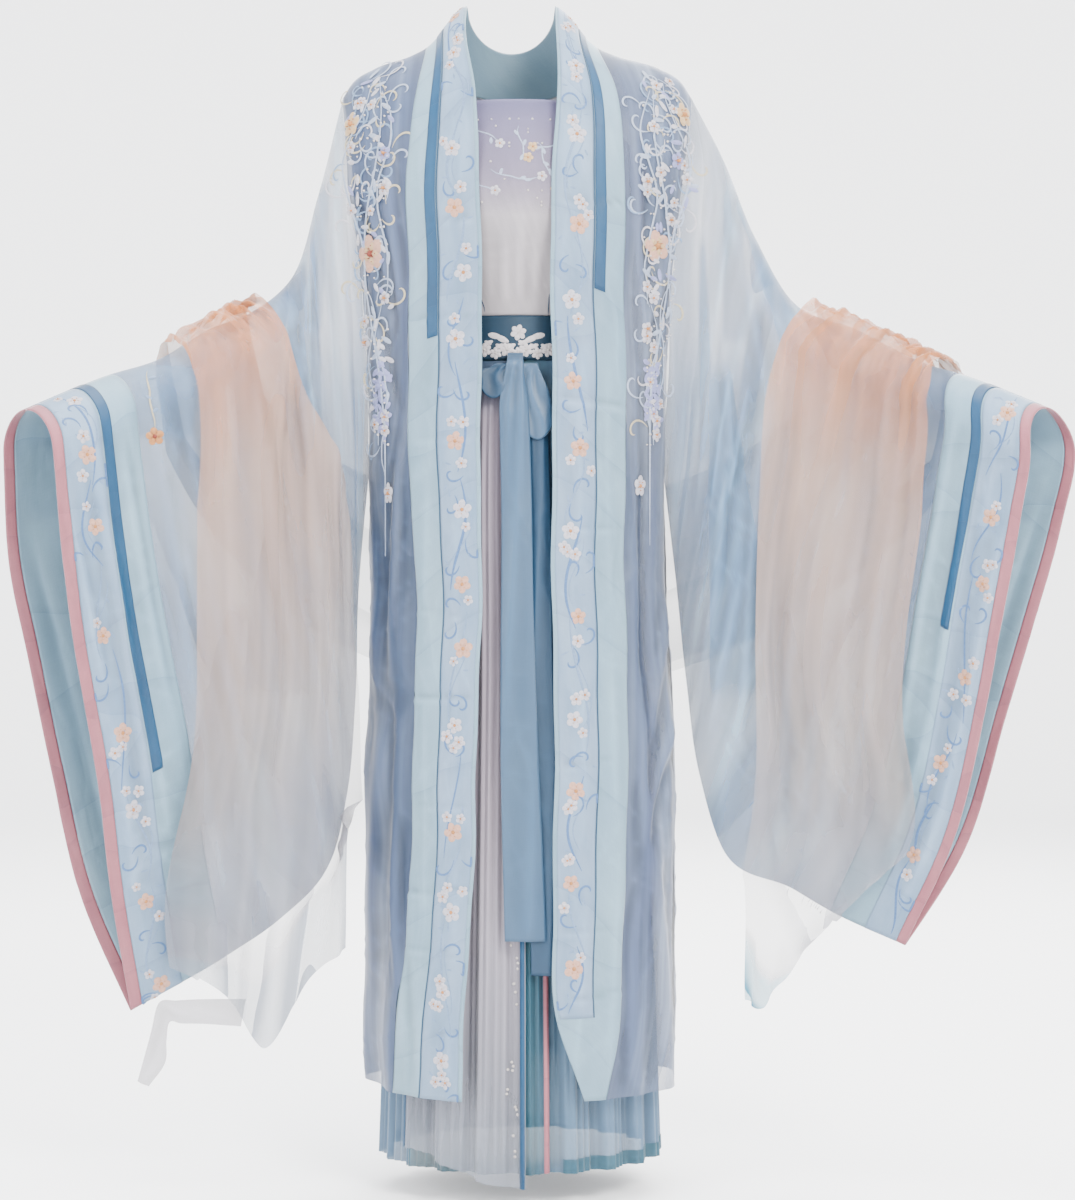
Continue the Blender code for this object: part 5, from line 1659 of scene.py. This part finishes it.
# The robe's sheer again, lighter with painted light, for the wearer's left front
PAINTED_LIGHTER_GREY_BLUE = ((0.34, (92, 102, 130)), (0.50, (124, 136, 160)), (0.66, (172, 184, 206)))
SLEEVE_BLUE = ((0.36, (84, 104, 138)), (0.50, (120, 144, 178)), (0.64, (186, 218, 242)))
SKIRT_BLUE = ((0.0, (46, 82, 94)), (0.35, (62, 98, 114)), (1.0, (118, 142, 166)))
# The overskirt's top, just under the waistband, is darkened with painted shade
MIST = (
    (0.0, (84, 100, 122)),
    (0.025, (110, 122, 142)),
    (0.07, (190, 180, 192)),
    (0.55, (210, 200, 210)),
    (0.85, (212, 210, 220)),
    (1.0, (198, 204, 216)),
)
MIST_COVER = ((0.0, 0.92), (0.7, 0.85), (0.85, 0.62), (1.0, 0.55))
CREAM = ((0.0, (168, 160, 196)), (0.35, (196, 186, 206)), (0.55, (220, 214, 218)), (1.0, (214, 208, 210)))
MAUVE = ((0.0, (146, 144, 180)), (1.0, (202, 192, 208)))
PEACH = (
    (0.0, (244, 148, 94)),
    (0.13, (242, 162, 116)),
    (0.30, (232, 196, 176)),
    (0.62, (214, 200, 192)),
    (0.82, (208, 202, 206)),
    (0.93, (208, 206, 212)),
    (1.0, (142, 202, 224)),
)
PEACH_COVER = ((0.0, 0.84), (0.4, 0.76), (0.66, 0.66), (0.80, 0.42), (0.85, 0.46), (0.91, 0.80), (1.0, 1.0))

USE = {
    # The second colour of the two front sheers is their painted shadow
    "sheer": sheer("sheer_grey_blue", GREY_BLUE, (66, 80, 102), 0.86, 0.98, 30.0, 1.7, 0.55),
    # The robe's sheer with painted light, for the wearer's left front
    "sheer_painted_lighter": sheer("sheer_painted_lighter", PAINTED_LIGHTER_GREY_BLUE, (66, 80, 102), 0.80, 0.97, 30.0, 1.7, 0.6),
    "sheer_back": sheer("sheer_back", GREY_BLUE, (112, 128, 156), 0.90, 0.99, 30.0, 1.7, 0.55),
    "sleeve": sheer("sheer_sleeve", SLEEVE_BLUE, (116, 148, 180), 0.34, 0.86, 13.0, 1.4, 0.75),
    "pale": woven("pale_aqua", (184, 210, 224), (164, 192, 210), 0.5, 1.0, 0.25, 8, 0.4, 0.45),
    "print": woven("printed_band", (184, 204, 226), (160, 184, 210), 0.5, 1.0, 0.2, 20, 0.3, 0.45),
    "teal": woven("deep_teal", (44, 98, 134), (32, 78, 112), 0.5, 1.0, 0.15, 12, 0.4, 0.3),
    # The waistband's teal, darker than the guards', is partly its dye and partly painted shade
    "waist": woven("waist_teal_and_shade", (20, 62, 84), (12, 46, 64), 0.6, 1.0, 0.0, 12, 0.4),
    # Dark cloth for the painted shadow line along each lapel's print, and for the bodice's cords
    "seam_shadow_and_cord": woven("seam_shadow", (66, 94, 118), (50, 78, 104), 0.6, 1.0, 0.1, 12, 0.3),
    "pink": woven("dusty_pink", (206, 148, 156), (186, 128, 138), 0.55, 1.0, 0.2, 14, 0.4, 0.4),
    "ribbon": woven("slate_ribbon", (106, 130, 154), (80, 106, 134), 0.40, 1.0, 0.2, 6, 0.35),
    # A copy of the ribbon darkened with painted shade
    "shaded_ribbon": woven("slate_ribbon_painted_shade", (66, 92, 118), (50, 74, 98), 0.5, 1.0, 0.0, 6, 0.35),
    "hem": woven("skirt_hem", (84, 122, 138), (68, 104, 122), 0.55, 0.9, 0.2, 12, 0.4),
    "skirt": graded("skirt_blue", SKIRT_BLUE, 0.93),
    "mist": graded("overskirt_mist", MIST, MIST_COVER, deep=0.78),
    "bodice": graded("bodice_cream", CREAM, 1.0),
    "overlay": graded("bodice_mauve", MAUVE, ((0.0, 0.62), (0.7, 0.5), (0.98, 0.0))),
    "scarf": graded("scarf_peach", PEACH, PEACH_COVER, deep=0.80, fold_shade_and_thinning=0.7),
    "scarf_end": woven("scarf_white", (222, 218, 222), (196, 192, 200), 0.55, 0.72, 0.3),
    "vine": plain("thread_blue", (116, 144, 188)),
    "pale_vine": plain("thread_pale_blue", (158, 180, 210)),
    "white": plain("thread_white", (236, 234, 242)),
    "peach": plain("thread_peach", (236, 196, 178)),
    "cream_thread": plain("thread_cream", (238, 210, 176)),
    "gold": plain("thread_gold", (216, 160, 120)),
    "wine": plain("thread_wine", (150, 80, 70)),
    "lavender": plain("thread_lavender", (182, 186, 226)),
    "silver": plain("thread_silver", (206, 216, 236)),
    "sand": plain("thread_sand", (224, 214, 190)),
    "lace": plain("lace_white", (250, 244, 246), 0.7),
    "pearl": plain("pearl", (250, 244, 240), 0.22),
}
make_robe()
make_sleeves()
make_scarf()
make_bodice()
make_waist()
make_tie()
make_skirt()
front_embroidery()
sleeve_flower()
make_studio()
